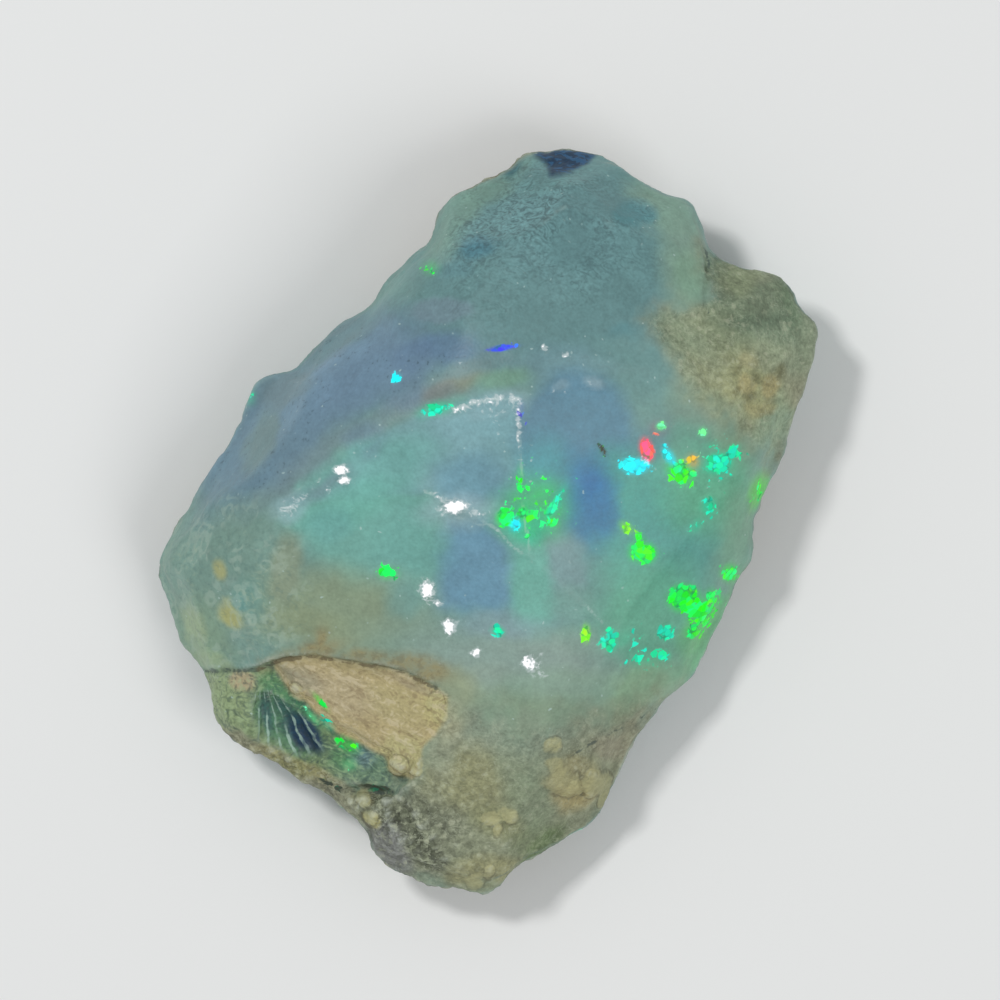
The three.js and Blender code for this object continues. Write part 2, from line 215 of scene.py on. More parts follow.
# Colour zones of the opal and its rock, one over another: place, radii, turn, softness, strength, colour.
ZONES = [
    # The far face.
    (2.43, 8.84, 5.61, 4.15, 0, 0.3, 0.95, 0x638586),
    (2.43, 9.76, 2.38, 1.53, 0, 0.5, 0.5, 0x5E8083),
    (6.1, 10.51, 1.56, 0.82, -38, 0.5, 0.85, 0x7A9686),
    (6.72, 8.06, 0.82, 2.11, 5, 0.5, 0.85, 0x7C9687),
    (-1.24, 10.2, 1.77, 0.54, 62, 0.5, 0.8, 0x749286),
    (0.39, 11.56, 1.29, 0.41, 32, 0.5, 0.7, 0x708E80),
    (-0.36, 9.25, 0.68, 0.37, 12, 0.5, 0.8, 0x4A7480),
    (-1.1, 8.5, 0.68, 0.27, 20, 0.6, 0.5, 0x567A80),
    (5.02, 10.47, 0.58, 0.41, 0, 0.5, 0.75, 0x588086),
    (0.9, 11.9, 0.41, 0.27, 40, 0.5, 0.85, 0x2C5860),
    (1.75, 11.42, 1.02, 0.41, 10, 0.5, 0.4, 0x567A78),
    (4.64, 6.36, 0.51, 0.27, 0, 0.6, 0.5, 0x548086),
    (4.47, 5.17, 2.11, 0.95, 0, 0.5, 0.7, 0x6E908E),
    (2.43, 5.24, 1.53, 0.68, 0, 0.5, 0.6, 0x6E8E96),
    # The violet band and the strip along its lit side.
    (-4.54, 4.9, 2.18, 0.82, 38, 0.6, 0.8, 0x6C869A),
    (-1.65, 7.07, 1.02, 0.44, -5, 0.25, 0.7, 0x748993),
    (-1.48, 5.85, 1.09, 0.44, 0, 0.5, 0.6, 0x5E7896),
    (-8.45, 1.6, 2.11, 0.75, 48, 0.6, 0.6, 0x617C8A),
    (-7.7, 2.79, 1.09, 0.54, 68, 0.35, 0.75, 0x6E8583),
    (-7.02, 4.49, 1.02, 0.54, 18, 0.4, 0.6, 0x6B7F82),
    (-5.22, 6.12, 1.63, 0.41, 38, 0.5, 0.7, 0x5E797B),
    (-2.67, 3.98, 2.89, 0.41, 30, 0.5, 0.75, 0x728888),
    (-6.41, 1.7, 2.11, 0.48, 38, 0.6, 0.6, 0x70828A),
    (-1.24, 4.56, 1.09, 0.27, 20, 0.5, 0.8, 0x808674),
    (0.39, 4.83, 0.88, 0.34, 10, 0.5, 0.85, 0x709682),
    # Below the ridge.
    (-3.42, 1.84, 1.77, 0.75, 30, 0.5, 0.7, 0x72A8A0),
    (-0.36, 3.33, 1.36, 1.02, 0, 0.5, 0.7, 0x86ACB2),
    (-0.63, 1.43, 1.22, 0.88, 0, 0.5, 0.6, 0x6C94A6),
    (0.26, 3.88, 1.02, 0.41, 6, 0.5, 0.7, 0x8FA8AC),
    (-4.71, 0.58, 1.7, 0.68, 18, 0.6, 0.6, 0x6EAA9C),
    (-2.67, -0.78, 1.16, 1.36, 0, 0.6, 0.5, 0x6CA098),
    # Beside the straight edge, and down the right of the stone.
    (2.98, 2.79, 2.04, 2.24, 0, 0.2, 0.9, 0x5E8396),
    (1.92, 1.43, 1.02, 1.36, 0, 0.5, 0.6, 0x589EA0),
    (4.98, 1.26, 1.9, 1.36, 0, 0.5, 0.7, 0x55A696),
    (3.45, 0.58, 0.88, 1.56, 10, 0.5, 0.8, 0x426EA4),
    (1.51, -1.97, 0.68, 1.9, 0, 0.4, 0.8, 0x70AC9C),
    (2.7, -1.36, 0.68, 1.02, 0, 0.3, 0.75, 0x809A9C),
    (5.66, -0.61, 2.11, 1.9, 0, 0.5, 0.85, 0x5C9E94),
    (7.46, 1.43, 1.5, 1.7, 0, 0.5, 0.85, 0x68AE8C),
    (8.48, -0.44, 0.75, 1.9, -15, 0.5, 0.7, 0x7A9E86),
    (9.03, 1.02, 0.31, 0.68, -12, 0.5, 0.85, 0x74BC6C),
    (1.48, 0.48, 1.29, 0.95, 0, 0.6, 0.75, 0x54AA80),
    (1.41, 0, 0.75, 0.61, 0, 0.5, 0.7, 0x42B496),
    (2.94, -4.01, 1.02, 0.54, 0, 0.5, 0.5, 0x7EA894),
    (2.84, -2.72, 0.75, 0.61, 0, 0.5, 0.5, 0x82AA9E),
    (-2.84, -2.65, 0.75, 0.61, 0, 0.5, 0.4, 0x6A8E8A),
    (5.49, -2.99, 1.9, 1.7, 45, 0.5, 0.8, 0x68A98D),
    (7.6, -3.67, 0.48, 2.24, -35, 0.5, 0.7, 0x74AC7E),
    (7.74, 3.47, 1.9, 0.82, -45, 0.5, 0.6, 0x849882),
    # The left margin and the stained ground above the ledge.
    (-4.88, -2.99, 2.86, 1.43, -5, 0.5, 0.85, 0x869378),
    (-2.5, -3.81, 1.7, 0.75, 0, 0.5, 0.6, 0x7E9586),
    (-6.82, -1.5, 0.48, 1.16, -10, 0.4, 0.8, 0x85917C),
    (-6.24, -3.33, 1.36, 0.54, 0, 0.5, 0.5, 0x869072),
    (-9.64, -4.01, 0.88, 1.5, 22, 0.6, 0.7, 0x849C84),
    (-9.95, -3.6, 0.31, 0.75, 20, 0.5, 0.6, 0x96A582),
    (-9.4, -4.86, 0.82, 0.27, -30, 0.5, 0.6, 0x94A482),
    (-8.72, -2.07, 0.31, 0.24, 30, 0.5, 0.7, 0x829A90),
    (-9.1, -1.63, 0.24, 0.37, 5, 0.5, 0.9, 0xA2A476),
    (-8.72, -3.2, 0.58, 0.37, -42, 0.35, 0.8, 0xA0AA86),
    (-8.69, -3.3, 0.44, 0.24, -42, 0.4, 0.9, 0xA6A872),
    (-8.45, -2.86, 0.31, 0.27, 0, 0.35, 0.95, 0x6C928C),
    # This row and the next are pale halos of painted light round two glints.
    (-6.65, 0.54, 0.61, 0.41, 20, 0.5, 0.45, 0x96B2BA),
    (-1.04, 0.34, 1.22, 0.61, 8, 0.5, 0.45, 0x9CB2B8),
    (-2.84, 4.32, 0.82, 0.54, 30, 0.5, 0.6, 0x62788E),
    # These two rows are pale painted highlights where small glints lie.
    (3.52, 4.69, 0.31, 0.17, -20, 0.5, 0.5, 0x96AAAF),
    (2.43, 4.45, 0.34, 0.17, 10, 0.5, 0.4, 0x8EA6AC),
    (-5.32, 0, 0.75, 0.54, 10, 0.5, 0.5, 0x6CA29E),
    (-1.65, 4.25, 0.61, 0.44, 25, 0.5, 0.7, 0x6A7278),
    (-4.3, 2.86, 0.75, 0.48, 35, 0.5, 0.55, 0x6E8490),
    (4.88, 10.34, 0.61, 0.37, -10, 0.3, 0.7, 0x548084),
    (-2.67, 5.47, 0.68, 0.54, 30, 0.5, 0.5, 0x627A94),
    (4.13, -4.01, 0.68, 0.61, 0, 0.5, 0.5, 0x7AA896),
    (6.85, -3.88, 0.61, 0.48, 45, 0.5, 0.6, 0x6EAC78),
    (1.41, -6.73, 0.75, 0.68, 0, 0.5, 0.5, 0x7E8D72),
    (-5.53, 1.5, 0.88, 0.51, 35, 0.5, 0.75, 0x6E898D),
    (-4.03, 2.86, 0.75, 0.58, 35, 0.5, 0.6, 0x6C8894),
    (4, 0.2, 0.58, 0.82, 0, 0.5, 0.6, 0x4872A0),
    (5.49, 2.79, 0.68, 0.61, 0, 0.5, 0.5, 0x5C808A),
    (6.85, 4.08, 0.75, 0.68, -30, 0.5, 0.55, 0x748E80),
    (6.85, 2.72, 0.68, 0.61, 0, 0.5, 0.6, 0x629282),
    (6.85, 8.23, 0.54, 0.88, 0, 0.5, 0.6, 0x80A088),
    (-2.74, -2.65, 0.68, 0.61, 0, 0.5, 0.5, 0x649290),
    (-0.02, -5.37, 0.82, 0.61, 0, 0.5, 0.6, 0x838E74),
    (-8.11, -2.65, 0.61, 0.68, 0, 0.5, 0.6, 0x668C85),
    (-1.31, 4.15, 0.75, 0.48, 20, 0.5, 0.4, 0x74827A),
    # The near side.
    (1.07, -4.76, 3.23, 1.16, -5, 0.5, 0.8, 0x899A90),
    (2.6, -5.64, 2.52, 0.68, 4, 0.5, 0.75, 0x849E8B),
    (5.15, -5.71, 1.5, 0.75, 42, 0.5, 0.8, 0x85A888),
    (0.39, -3.4, 1.43, 0.41, 0, 0.5, 0.5, 0x82969E),
    (1.07, -6.66, 3.13, 0.82, 0, 0.5, 0.8, 0x7D9278),
    (-1.14, -5.78, 0.82, 0.88, 0, 0.5, 0.8, 0x90997C),
    (-1.79, -7.82, 0.68, 1.36, 0, 0.5, 0.8, 0x8A947A),
]
ROCK_ZONES = [
    # The near rock.
    (0.39, -9.45, 5.1, 3.74, -20, 0.3, 1, 0x858B72),
    (0.39, -6.9, 2.72, 0.88, 0, 0.5, 0.8, 0x869382),
    (-0.49, -8.6, 1.7, 1.16, 0, 0.5, 0.8, 0x92926C),
    (1.07, -8.09, 0.88, 1.02, 0, 0.5, 0.6, 0x84947E),
    (1.41, -9.45, 0.82, 1.16, 0, 0.5, 0.6, 0x7C8B71),
    (2.84, -8.7, 0.95, 0.75, -20, 0.4, 0.7, 0x928B65),
    (4.13, -7.68, 0.68, 0.41, 0, 0.5, 0.6, 0x8A8470),
    (0.29, -10.13, 0.82, 0.54, -20, 0.5, 0.7, 0x8A8C65),
    (-0.29, -11.9, 1.16, 0.61, 10, 0.4, 0.8, 0x96946C),
    (-2.67, -10.47, 1.5, 1.56, -40, 0.4, 0.8, 0x717662),
    (-1.45, -7.48, 0.54, 1.16, -10, 0.5, 0.8, 0x929880),
    (-3.52, -11.15, 0.82, 1.16, 30, 0.35, 0.95, 0x80827E),
    (1.92, -10.88, 0.88, 0.41, 40, 0.5, 0.9, 0x5C7048),
    (-1.31, -6.8, 0.61, 0.61, 0, 0.5, 0.6, 0xA09E7E),
    (1.34, -10.74, 0.75, 0.48, 40, 0.5, 0.5, 0x707E5C),
    (2.91, -9.32, 0.68, 0.48, 0, 0.5, 0.7, 0xA29568),
    (-6.41, -8.16, 1.5, 0.41, -18, 0.5, 0.9, 0x928E62),
    (-6.75, -8.26, 0.68, 0.48, -18, 0.5, 0.6, 0x7E8056),
    (-4.23, -9.28, 0.27, 0.24, 0, 0.35, 0.9, 0xACA474),
    (-4, -9.96, 0.27, 0.2, -30, 0.35, 0.9, 0xAAA468),
    # The rock at the right.
    (8.72, 7.55, 2.38, 1.7, -20, 0.3, 1, 0x707E67),
    (10.25, 6.02, 1.36, 1.16, 0, 0.5, 0.7, 0x84967C),
    (7.87, 4.83, 2.72, 1.56, -48, 0.4, 0.95, 0x919877),
    (8.82, 4.66, 1.16, 0.82, -50, 0.5, 0.8, 0x9C9F75),
    (6.31, 6.32, 1.36, 0.61, -30, 0.5, 0.8, 0x829177),
    (9.57, 3.13, 0.54, 1.16, -15, 0.5, 0.8, 0x8CA288),
    (7.77, 8.84, 0.27, 0.88, 8, 0.5, 0.6, 0x627058),
    (8.14, 6.6, 0.88, 0.88, 0, 0.5, 0.6, 0x728268),
    (9.64, 5.64, 0.68, 0.54, 0, 0.5, 0.6, 0x96A082),
    (8.01, 4.15, 0.82, 0.61, 0, 0.5, 0.6, 0xA0A37A),
    (9.23, 8.5, 0.48, 0.41, 0, 0.5, 0.6, 0x8C927A),
    (10.25, 7.55, 0.34, 0.88, 0, 0.5, 0.5, 0x647C60),
    (8.48, 8.3, 0.68, 0.61, 0, 0.5, 0.6, 0x889270),
    (9.06, 6.73, 1.16, 0.24, 12, 0.5, 0.5, 0x586C58),
    (8.69, 4.73, 0.31, 0.37, 20, 0.4, 0.8, 0xA8A072),
    (9.5, 4.59, 0.31, 0.41, 0, 0.4, 0.8, 0xA89E70),
    (9.13, 3.88, 0.44, 0.27, 10, 0.4, 0.7, 0xA29E72),
    (8.79, 5.51, 0.37, 0.24, 0, 0.4, 0.7, 0xA09E78),
    (8.38, 5.2, 0.2, 0.14, 30, 0.6, 0.7, 0x686848),
    (9.1, 4.9, 0.14, 0.2, 0, 0.6, 0.7, 0x686848),
    (8.31, 4.49, 0.2, 0.14, 40, 0.6, 0.7, 0x6C6A48),
    (9.88, 5.03, 0.14, 0.24, 0, 0.6, 0.7, 0x686848),
    (8.82, 4.25, 0.2, 0.14, 20, 0.6, 0.7, 0x6C6A48),
    (7.74, 5.78, 0.31, 0.14, -10, 0.6, 0.6, 0x6E785C),
]
TONGUE_ZONES = [
    (-4.2, -6.22, 4.76, 3.06, -25, 0.4, 1, 0xAD9F75),
    # A darker grey strip just under the ledge: painted shadow.
    (-6.34, -5.24, 0.75, 0.34, -20, 0.5, 0.8, 0x8C8972),
    (-4.88, -5.71, 1.36, 0.54, -30, 0.5, 0.5, 0xACA084),
    (-1.75, -6.19, 0.54, 0.82, 0, 0.4, 0.85, 0xB8B07A),
    (-2.87, -7.82, 0.88, 0.68, 0, 0.5, 0.8, 0xB2AE7C),
    (-3.01, -6.22, 1.02, 0.61, -25, 0.5, 0.5, 0xAAA274),
    # A darker grey strip just under the ledge: painted shadow.
    (-2.4, -5.51, 1.02, 0.2, -20, 0.5, 0.5, 0x9E9680),
]
POCKET_ZONES = [
    (-6.75, -6.56, 3.74, 2.04, -25, 0.4, 1, 0x6C7E5D),
    (-8.96, -6.22, 1.22, 1.36, 0, 0.4, 0.95, 0x889874),
    (-8.52, -7.31, 0.61, 0.31, -20, 0.5, 0.6, 0x767C66),
    (-8.42, -5.51, 0.44, 0.34, 0, 0.3, 0.9, 0xA4987C),
    (-5.39, -6.05, 0.48, 0.41, -40, 0.4, 0.7, 0x688A5C),
    (-4.2, -8.16, 1.5, 0.54, -25, 0.5, 0.85, 0x5E7862),
    (-4.27, -7.92, 0.54, 0.31, -20, 0.5, 0.8, 0x6A8288),
    (-4.88, -7.82, 0.48, 0.41, 0, 0.5, 0.6, 0x528056),
    (-6.82, -6.6, 1.36, 0.82, -48, 0.3, 0.9, 0x507A5C),
    (-7.23, -5.51, 0.75, 0.41, -20, 0.4, 0.7, 0x547E58),
    (-6.31, -7.11, 0.82, 0.37, -38, 0.3, 0.95, 0x0C2A4A),
    (-7.43, -6.46, 0.17, 0.68, 12, 0.5, 0.7, 0x284A54),
    (-6.89, -6.46, 0.17, 0.61, 30, 0.5, 0.7, 0x183E48),
    (-6.41, -6.26, 0.48, 0.2, -50, 0.5, 0.6, 0x2C6248),
]
# Tan grains that stand in the rock: place, radius and height, in mm.
KNOBS = [
    (-3.01, -8.16, 0.34, 0.16), (-2.4, -8.33, 0.24, 0.12), (-6.48, -5.71, 0.27, 0.1),
    (2.12, -7.55, 0.31, 0.1), (2.3, -8.77, 0.44, 0.1), (2.19, -8.23, 0.27, 0.06), (2.84, -8.98, 0.41, 0.08),
    (3.69, -8.87, 0.51, 0.12), (3.96, -9.38, 0.31, 0.05), (0.12, -10, 0.31, 0.08), (0.7, -9.93, 0.27, 0.06),
    (0.36, -10.44, 0.24, 0.05), (-0.49, -12.21, 0.34, 0.06), (-0.02, -11.8, 0.24, 0.05),
    (-4.23, -9.32, 0.27, 0.12), (-4, -9.96, 0.31, 0.1), (-1.79, -6.05, 0.37, 0.08),
    (-1.65, -6.6, 0.27, 0.06),
]
# Where fibres felt the far face: place, radii, turn and strength.
FELT = [
    (1.58, 10.44, 2.55, 1.43, 8, 1.3), (-0.29, 10.1, 1.22, 2.04, -20, 1.1),
    (2.43, 8.74, 3.06, 1.36, 0, 0.7), (0.39, 6.87, 2.72, 0.88, 0, 0.35), (5.15, 10.44, 0.88, 0.61, 0, 0.6),
    (3.72, 9.86, 1.5, 1.02, 10, 0.8), (1.07, 12.04, 2.04, 0.75, 0, 0.9),
]
# Where light glints white from small clean breaks, which are tilted to the lamps and also painted white as
# painted highlights: place, radii, turn and strength.
GLINTS = [
    (-1.14, 0.51, 0.51, 0.27, 8, 1.4), (-0.36, 0.31, 0.37, 0.14, -15, 0.75),
    (-1.72, 0.85, 0.44, 0.15, -25, 0.7), (-2.06, -2.28, 0.27, 0.41, 20, 1.4),
    (-1.72, -2.72, 0.2, 0.15, -20, 1.1), (-1.31, -3.5, 0.24, 0.34, 5, 1.4),
    (-0.43, -4.42, 0.2, 0.2, 0, 1.3), (-4.95, 1.77, 0.27, 0.19, -5, 1.4),
    (-4.85, 1.39, 0.27, 0.19, 5, 1.35), (1.38, -4.76, 0.31, 0.34, 0, 1.2),
    (1.75, -5.07, 0.31, 0.15, -25, 0.7), (1.79, -4.52, 0.14, 0.24, 0, 0.7),
    (1.85, 5.85, 0.2, 0.1, -15, 1.05), (2.6, 5.61, 0.24, 0.1, 5, 1), (-6.72, 0.51, 0.44, 0.37, 10, 0.66),
    (-6.24, 0.82, 0.44, 0.24, 15, 0.55), (0.46, 3.6, 0.88, 0.54, 0, 0.42),
    (-5.36, 1.12, 0.15, 0.14, 0, 0.8), (-5.73, 1.36, 0.15, 0.14, 0, 0.7),
    (3.52, 4.66, 0.27, 0.14, -20, 0.55), (2.43, 4.42, 0.31, 0.14, 10, 0.5),
]
# Blots of brown stain above the ledge: place, radii, turn and strength.
STAIN = [
    (-5.8, -4.22, 0.88, 0.27, 12, 1), (-5.66, -3.88, 0.24, 0.41, -10, 1), (-2.6, -4.69, 1.02, 0.27, -4, 1),
    (-1.79, -4.96, 0.61, 0.34, -10, 1), (-4.03, -4.42, 0.82, 0.2, -8, 1),
]
# Edges of breaks that are frosted white, and where strongest also painted with highlights, as a path, half
# width and strength.
FROSTED_EDGES = [
    ([(-1.1, 3.74), (-0.63, 3.98), (-0.09, 4.08), (0.39, 4.11), (1, 4.11)], 0.19, 0.8),
    ([(0.94, 4.08), (1, 3.47), (1.04, 2.79)], 0.13, 0.9),
    ([(1.04, 2.79), (1.07, 1.77), (1.1, 1.02)], 0.07, 0.55),
]


# Fields over the stone's points.

def srgb(colour):
    """A colour as on screen, 0xRRGGBB, in the linear light that shaders work in."""
    parts = (colour >> 16 & 255, colour >> 8 & 255, colour & 255)
    return tuple(part / 3294.6 if part <= 10 else ((part / 255 + 0.055) / 1.055) ** 2.4 for part in parts)


def eased(low, high, value):
    """0 below low and 1 above high, with a smooth rise between."""
    share = np.clip((value - low) / (high - low), 0.0, 1.0)
    return share * share * (3.0 - 2.0 * share)


def mixed(cells, seed):
    """A repeatable number from 0 to 1 for each whole-numbered cell."""
    x, y, z = ((cells[..., axis].astype(np.int64) & 0xFFFFFFFF).astype(np.uint32) for axis in range(3))
    start = np.uint32((seed * 3266489917) & 0xFFFFFFFF)
    bits = x * np.uint32(374761393) + y * np.uint32(668265263) + z * np.uint32(2246822519) + start
    bits = (bits ^ (bits >> np.uint32(13))) * np.uint32(1274126177)
    return (bits ^ (bits >> np.uint32(16))) / 4294967295.0


def lumps(points, size, seed=0):
    """Smooth unevenness from -1 to 1, with bumps about size mm across."""
    base = np.floor(points / size)
    share = eased(0.0, 1.0, points / size - base)
    total = np.zeros(len(points))
    for corner in itertools.product((0, 1), repeat=3):
        weight = np.prod(np.where(np.array(corner) == 1, share, 1.0 - share), axis=1)
        total += weight * mixed(base + corner, seed)
    return 2.0 * total - 1.0


def rubble(points, size, seed=0, levels=3):
    """Unevenness from -1 to 1 with finer unevenness on it, each level half the size of the last."""
    total = sum(lumps(points, size / 2**level, seed + level) / 2**level for level in range(levels))
    return total / (2.0 - 2.0 ** (1 - levels))


def pebbles(points, size, seed=0):
    """The distance to the nearest of scattered centres, in sizes, and that centre's own number."""
    base = np.floor(points / size)
    within = points / size - base
    nearest = np.full(len(points), 9.0)
    number = np.zeros(len(points))
    for step in itertools.product((-1, 0, 1), repeat=3):
        cell = base + step
        offsets = np.stack([mixed(cell, seed + axis) for axis in (11, 12, 13)], axis=1)
        distance = np.linalg.norm(offsets + step - within, axis=1)
        number = np.where(distance < nearest, mixed(cell, seed + 14), number)
        nearest = np.minimum(nearest, distance)
    return nearest, number


def path_distance(path, plan):
    """The distance in mm from each place to a path."""
    closest = np.full(len(plan), np.inf)
    for start, end in zip(np.array(path[:-1]), np.array(path[1:])):
        run = end - start
        share = np.clip((plan - start) @ run / (run @ run), 0.0, 1.0)
        closest = np.minimum(closest, np.linalg.norm(plan - start - share[:, None] * run, axis=1))
    return closest


def nearest_path(paths, plan):
    """The distance in mm from each place to the nearest of several paths."""
    return np.min([path_distance(path, plan) for path in paths], axis=0)


def depth_inside(edge, plan):
    """The distance in mm from each place to a closed edge, negative outside it."""
    inside = np.zeros(len(plan), bool)
    for (x1, y1), (x2, y2) in zip(edge, edge[1:] + edge[:1]):
        if y1 != y2:
            crossing = (x2 - x1) * (plan[:, 1] - y1) / (y2 - y1) + x1
            inside ^= ((y1 > plan[:, 1]) != (y2 > plan[:, 1])) & (plan[:, 0] < crossing)
    return path_distance(edge + edge[:1], plan) * np.where(inside, 1.0, -1.0)


def zone(edge, plan, soft):
    """1 inside an edge and 0 outside it, blended over soft mm to each side."""
    return eased(-soft, soft, depth_inside(edge, plan))


def oval(plan, x, y, across, along, turn=0.0):
    """How far out each place is from the middle of an oval, 1 on its edge."""
    away = plan - np.array((x, y))
    cos, sin = math.cos(math.radians(turn)), math.sin(math.radians(turn))
    aside, ahead = away[:, 0] * cos + away[:, 1] * sin, away[:, 1] * cos - away[:, 0] * sin
    return np.hypot(aside / across, ahead / along)


def spot(plan, *place):
    """A soft oval, 1 in its middle."""
    return np.exp(-oval(plan, *place) ** 2)


def strongest(spots, plan):
    """The strongest of several soft ovals at each place."""
    return np.max([strength * spot(plan, *place) for *place, strength in spots], axis=0)


# The stone's mesh.

def coordinates(mesh):
    values = np.empty(len(mesh.vertices) * 3, np.float32)
    mesh.vertices.foreach_get("co", values)
    return values.reshape(-1, 3).astype(float) / MM


def normals(mesh):
    values = np.empty(len(mesh.vertices) * 3, np.float32)
    mesh.vertex_normals.foreach_get("vector", values)
    return values.reshape(-1, 3).astype(float)


def put_coordinates(mesh, points):
    mesh.vertices.foreach_set("co", (points * MM).astype(np.float32).ravel())
    mesh.update()


def neighbour_mean(mesh, values):
    """The mean of values over the points that each point shares an edge with."""
    ends = np.empty(len(mesh.edges) * 2, np.int32)
    mesh.edges.foreach_get("vertices", ends)
    first, second = ends.reshape(-1, 2).T
    size = len(values)
    count = np.bincount(np.concatenate((first, second)), minlength=size)
    columns = [
        np.bincount(first, column[second], size) + np.bincount(second, column[first], size)
        for column in values.T
    ]
    return np.stack(columns, axis=1) / count[:, None]


def smooth(mesh, passes):
    points = coordinates(mesh)
    for _ in range(passes):
        points = (points + neighbour_mean(mesh, points)) / 2.0
    put_coordinates(mesh, points)


def regridded(mesh, spacing):
    """The same closed shape with even points, spacing mm apart."""
    holder = bpy.data.objects.new("regridded", mesh)
    bpy.context.scene.collection.objects.link(holder)
    remesh = holder.modifiers.new("even_points", "REMESH")
    remesh.mode = "VOXEL"
    remesh.voxel_size = spacing * MM
    evaluated = holder.evaluated_get(bpy.context.evaluated_depsgraph_get())
    result = bpy.data.meshes.new_from_object(evaluated)
    bpy.data.objects.remove(holder)
    return result


def merged_copy(node):
    """A copy of a CAD node's mesh with its loose triangles joined."""
    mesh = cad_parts[node].data.copy()
    loose = bmesh.new()
    loose.from_mesh(mesh)
    bmesh.ops.remove_doubles(loose, verts=loose.verts, dist=0.002 * MM)
    loose.to_mesh(mesh)
    loose.free()
    mesh.materials.clear()
    return mesh


def warped(points, reach):
    """Places seen from above, pushed about so that no border runs smooth."""
    push = np.stack([rubble(points, 1.3, 31), rubble(points, 1.3, 37)], axis=1)
    return points[:, :2] - MIDDLE[:2] + reach * push


def warp_solid(points, size, reach):
    """Points pushed about by up to reach mm, in bends about size mm long."""
    return points + reach * np.stack([lumps(points, size, seed) for seed in (141, 143, 145)], axis=1)


def evened(ring, reach):
    """The moving mean of a closed ring of values, over reach values to each side."""
    padded = np.concatenate((ring[-reach:], ring, ring[:reach]))
    return np.convolve(padded, np.ones(2 * reach + 1) / (2 * reach + 1), mode="valid")


def sway(bearing):
    """How far the widest contour rises and dips on its way round, in mm."""
    slow = 0.45 * np.sin(2 * bearing - 0.9) + 0.3 * np.sin(3 * bearing + 1.0)
    return slow + 0.22 * np.sin(7 * bearing + 0.4) + 0.1 * np.sin(13 * bearing + 2.0)


@functools.cache
def contour_stops():
    """The bearing, radius and height of the CAD solid's widest contour, all the way round."""
    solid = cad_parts[NODE].data
    corners = np.array([vertex.co for vertex in solid.vertices]) / MM
    ends = corners[np.array([edge.vertices for edge in solid.edges])]
    share = np.linspace(0, 1, 9)[:, None, None]
    marks = (ends[:, 0] * (1 - share) + ends[:, 1] * share).reshape(-1, 3)
    turn = np.arctan2(marks[:, 1], marks[:, 0])
    radius = np.hypot(marks[:, 0], marks[:, 1])
    bins = np.floor((turn + math.pi) / (2 * math.pi) * CONTOUR_STOPS).astype(int) % CONTOUR_STOPS
    order = np.lexsort((radius, bins))
    outermost = order[np.flatnonzero(np.diff(np.append(bins[order], -1)))]
    heights = evened(marks[outermost, 2], 6) + sway(turn[outermost])
    return turn[outermost], radius[outermost], heights


def widest_contour(points):
    """For each point, the share of the way out to the widest contour, and that contour's height."""
    turns, radii, heights = contour_stops()
    bearing = np.arctan2(points[:, 1], points[:, 0])
    reach = np.interp(bearing, turns, radii, period=2 * math.pi)
    height = np.interp(bearing, turns, heights, period=2 * math.pi)
    return np.hypot(points[:, 0], points[:, 1]) / reach, height


def fill_out(points, blur):
    """Brings the widest contour back out to the CAD solid's, as an even stretch over blur stops each way."""
    out, _ = widest_contour(points)
    stops = np.linspace(-math.pi, math.pi, CONTOUR_STOPS + 1)
    bearing = np.arctan2(points[:, 1], points[:, 0])
    bins = np.clip(np.digitize(bearing, stops) - 1, 0, CONTOUR_STOPS - 1)
    widest = np.zeros(CONTOUR_STOPS)
    np.maximum.at(widest, bins, out)
    middles = (stops[:-1] + stops[1:]) / 2
    short = np.interp(bearing, middles, evened(widest, blur), period=2 * math.pi)
    points[:, :2] *= (1 + (1 / short - 1) * eased(0.7, 1.0, out))[:, None]


def top_height(plan):
    """The height of the broken top, before it turns down to the widest contour."""
    away = plan - np.array(APEX)
    drops = [np.zeros(len(plan))]
    for bearing, start, drop in TOP_FACES:
        towards = np.array((math.cos(math.radians(bearing)), math.sin(math.radians(bearing))))
        drops.append(drop * (away @ towards - start))
    height = CREST_HEIGHT - np.log(np.exp(np.array(drops) / RIDGE_ROUNDING).sum(axis=0)) * RIDGE_ROUNDING
    for edge, depth, wall in STEPS:
        height -= depth * eased(0.0, wall, depth_inside(edge, plan))
    # The tongue of rock stands up in the hollow, almost to the ledge.
    stands = eased(0.0, 0.3, depth_inside(TONGUE, plan))
    return height - eased(0.0, 0.12, depth_inside(HOLLOW, plan)) * (HOLLOW_DEPTH - TONGUE_HEIGHT * stands)


def shape_top(points, facing):
    """Gives the top its crisp faces and steps, which the CAD solid holds softly."""
    out, contour = widest_contour(points)
    plan = warped(points, 0.14)
    far = np.maximum(top_height(plan) + 0.08 * rubble(points, 3.0, 27), contour + 0.6)
    target = contour + (far - contour) * np.sqrt(np.clip(1 - out**SHOULDER, 0, 1))
    share = eased(0.97, 0.9, out) * eased(-0.1, 0.3, facing[:, 2])
    points[:, 2] += share * (target - points[:, 2])


def knock_chips(points):
    """Cuts flat chips and hollow shell breaks off the sides, and little off the widest contour."""
    chance = np.random.default_rng(11)
    for count, depths, tilts, hollow in CHIPS:
        for index in range(count):
            bearing = math.radians(360 * (index + chance.uniform(-0.35, 0.35)) / count)
            tilt = math.radians(chance.uniform(*tilts))
            level = math.cos(tilt)
            towards = np.array((level * math.cos(bearing), level * math.sin(bearing), math.sin(tilt)))
            depth = chance.uniform(*depths)
            # A hollow break is the side of a ball, and a flat one the side of a very big one.
            ball = chance.uniform(*hollow)
            side = points @ towards
            foremost = points[side.argmax()]
            away = points - (foremost + (ball - depth) * towards)
            distance = np.linalg.norm(away, axis=1)
            _, contour = widest_contour(points)
            free = 0.25 + 0.75 * eased(0.1, 0.9, np.abs(points[:, 2] - contour))
            points += (np.clip(ball - distance, 0, 2 * depth) * free / distance)[:, None] * away


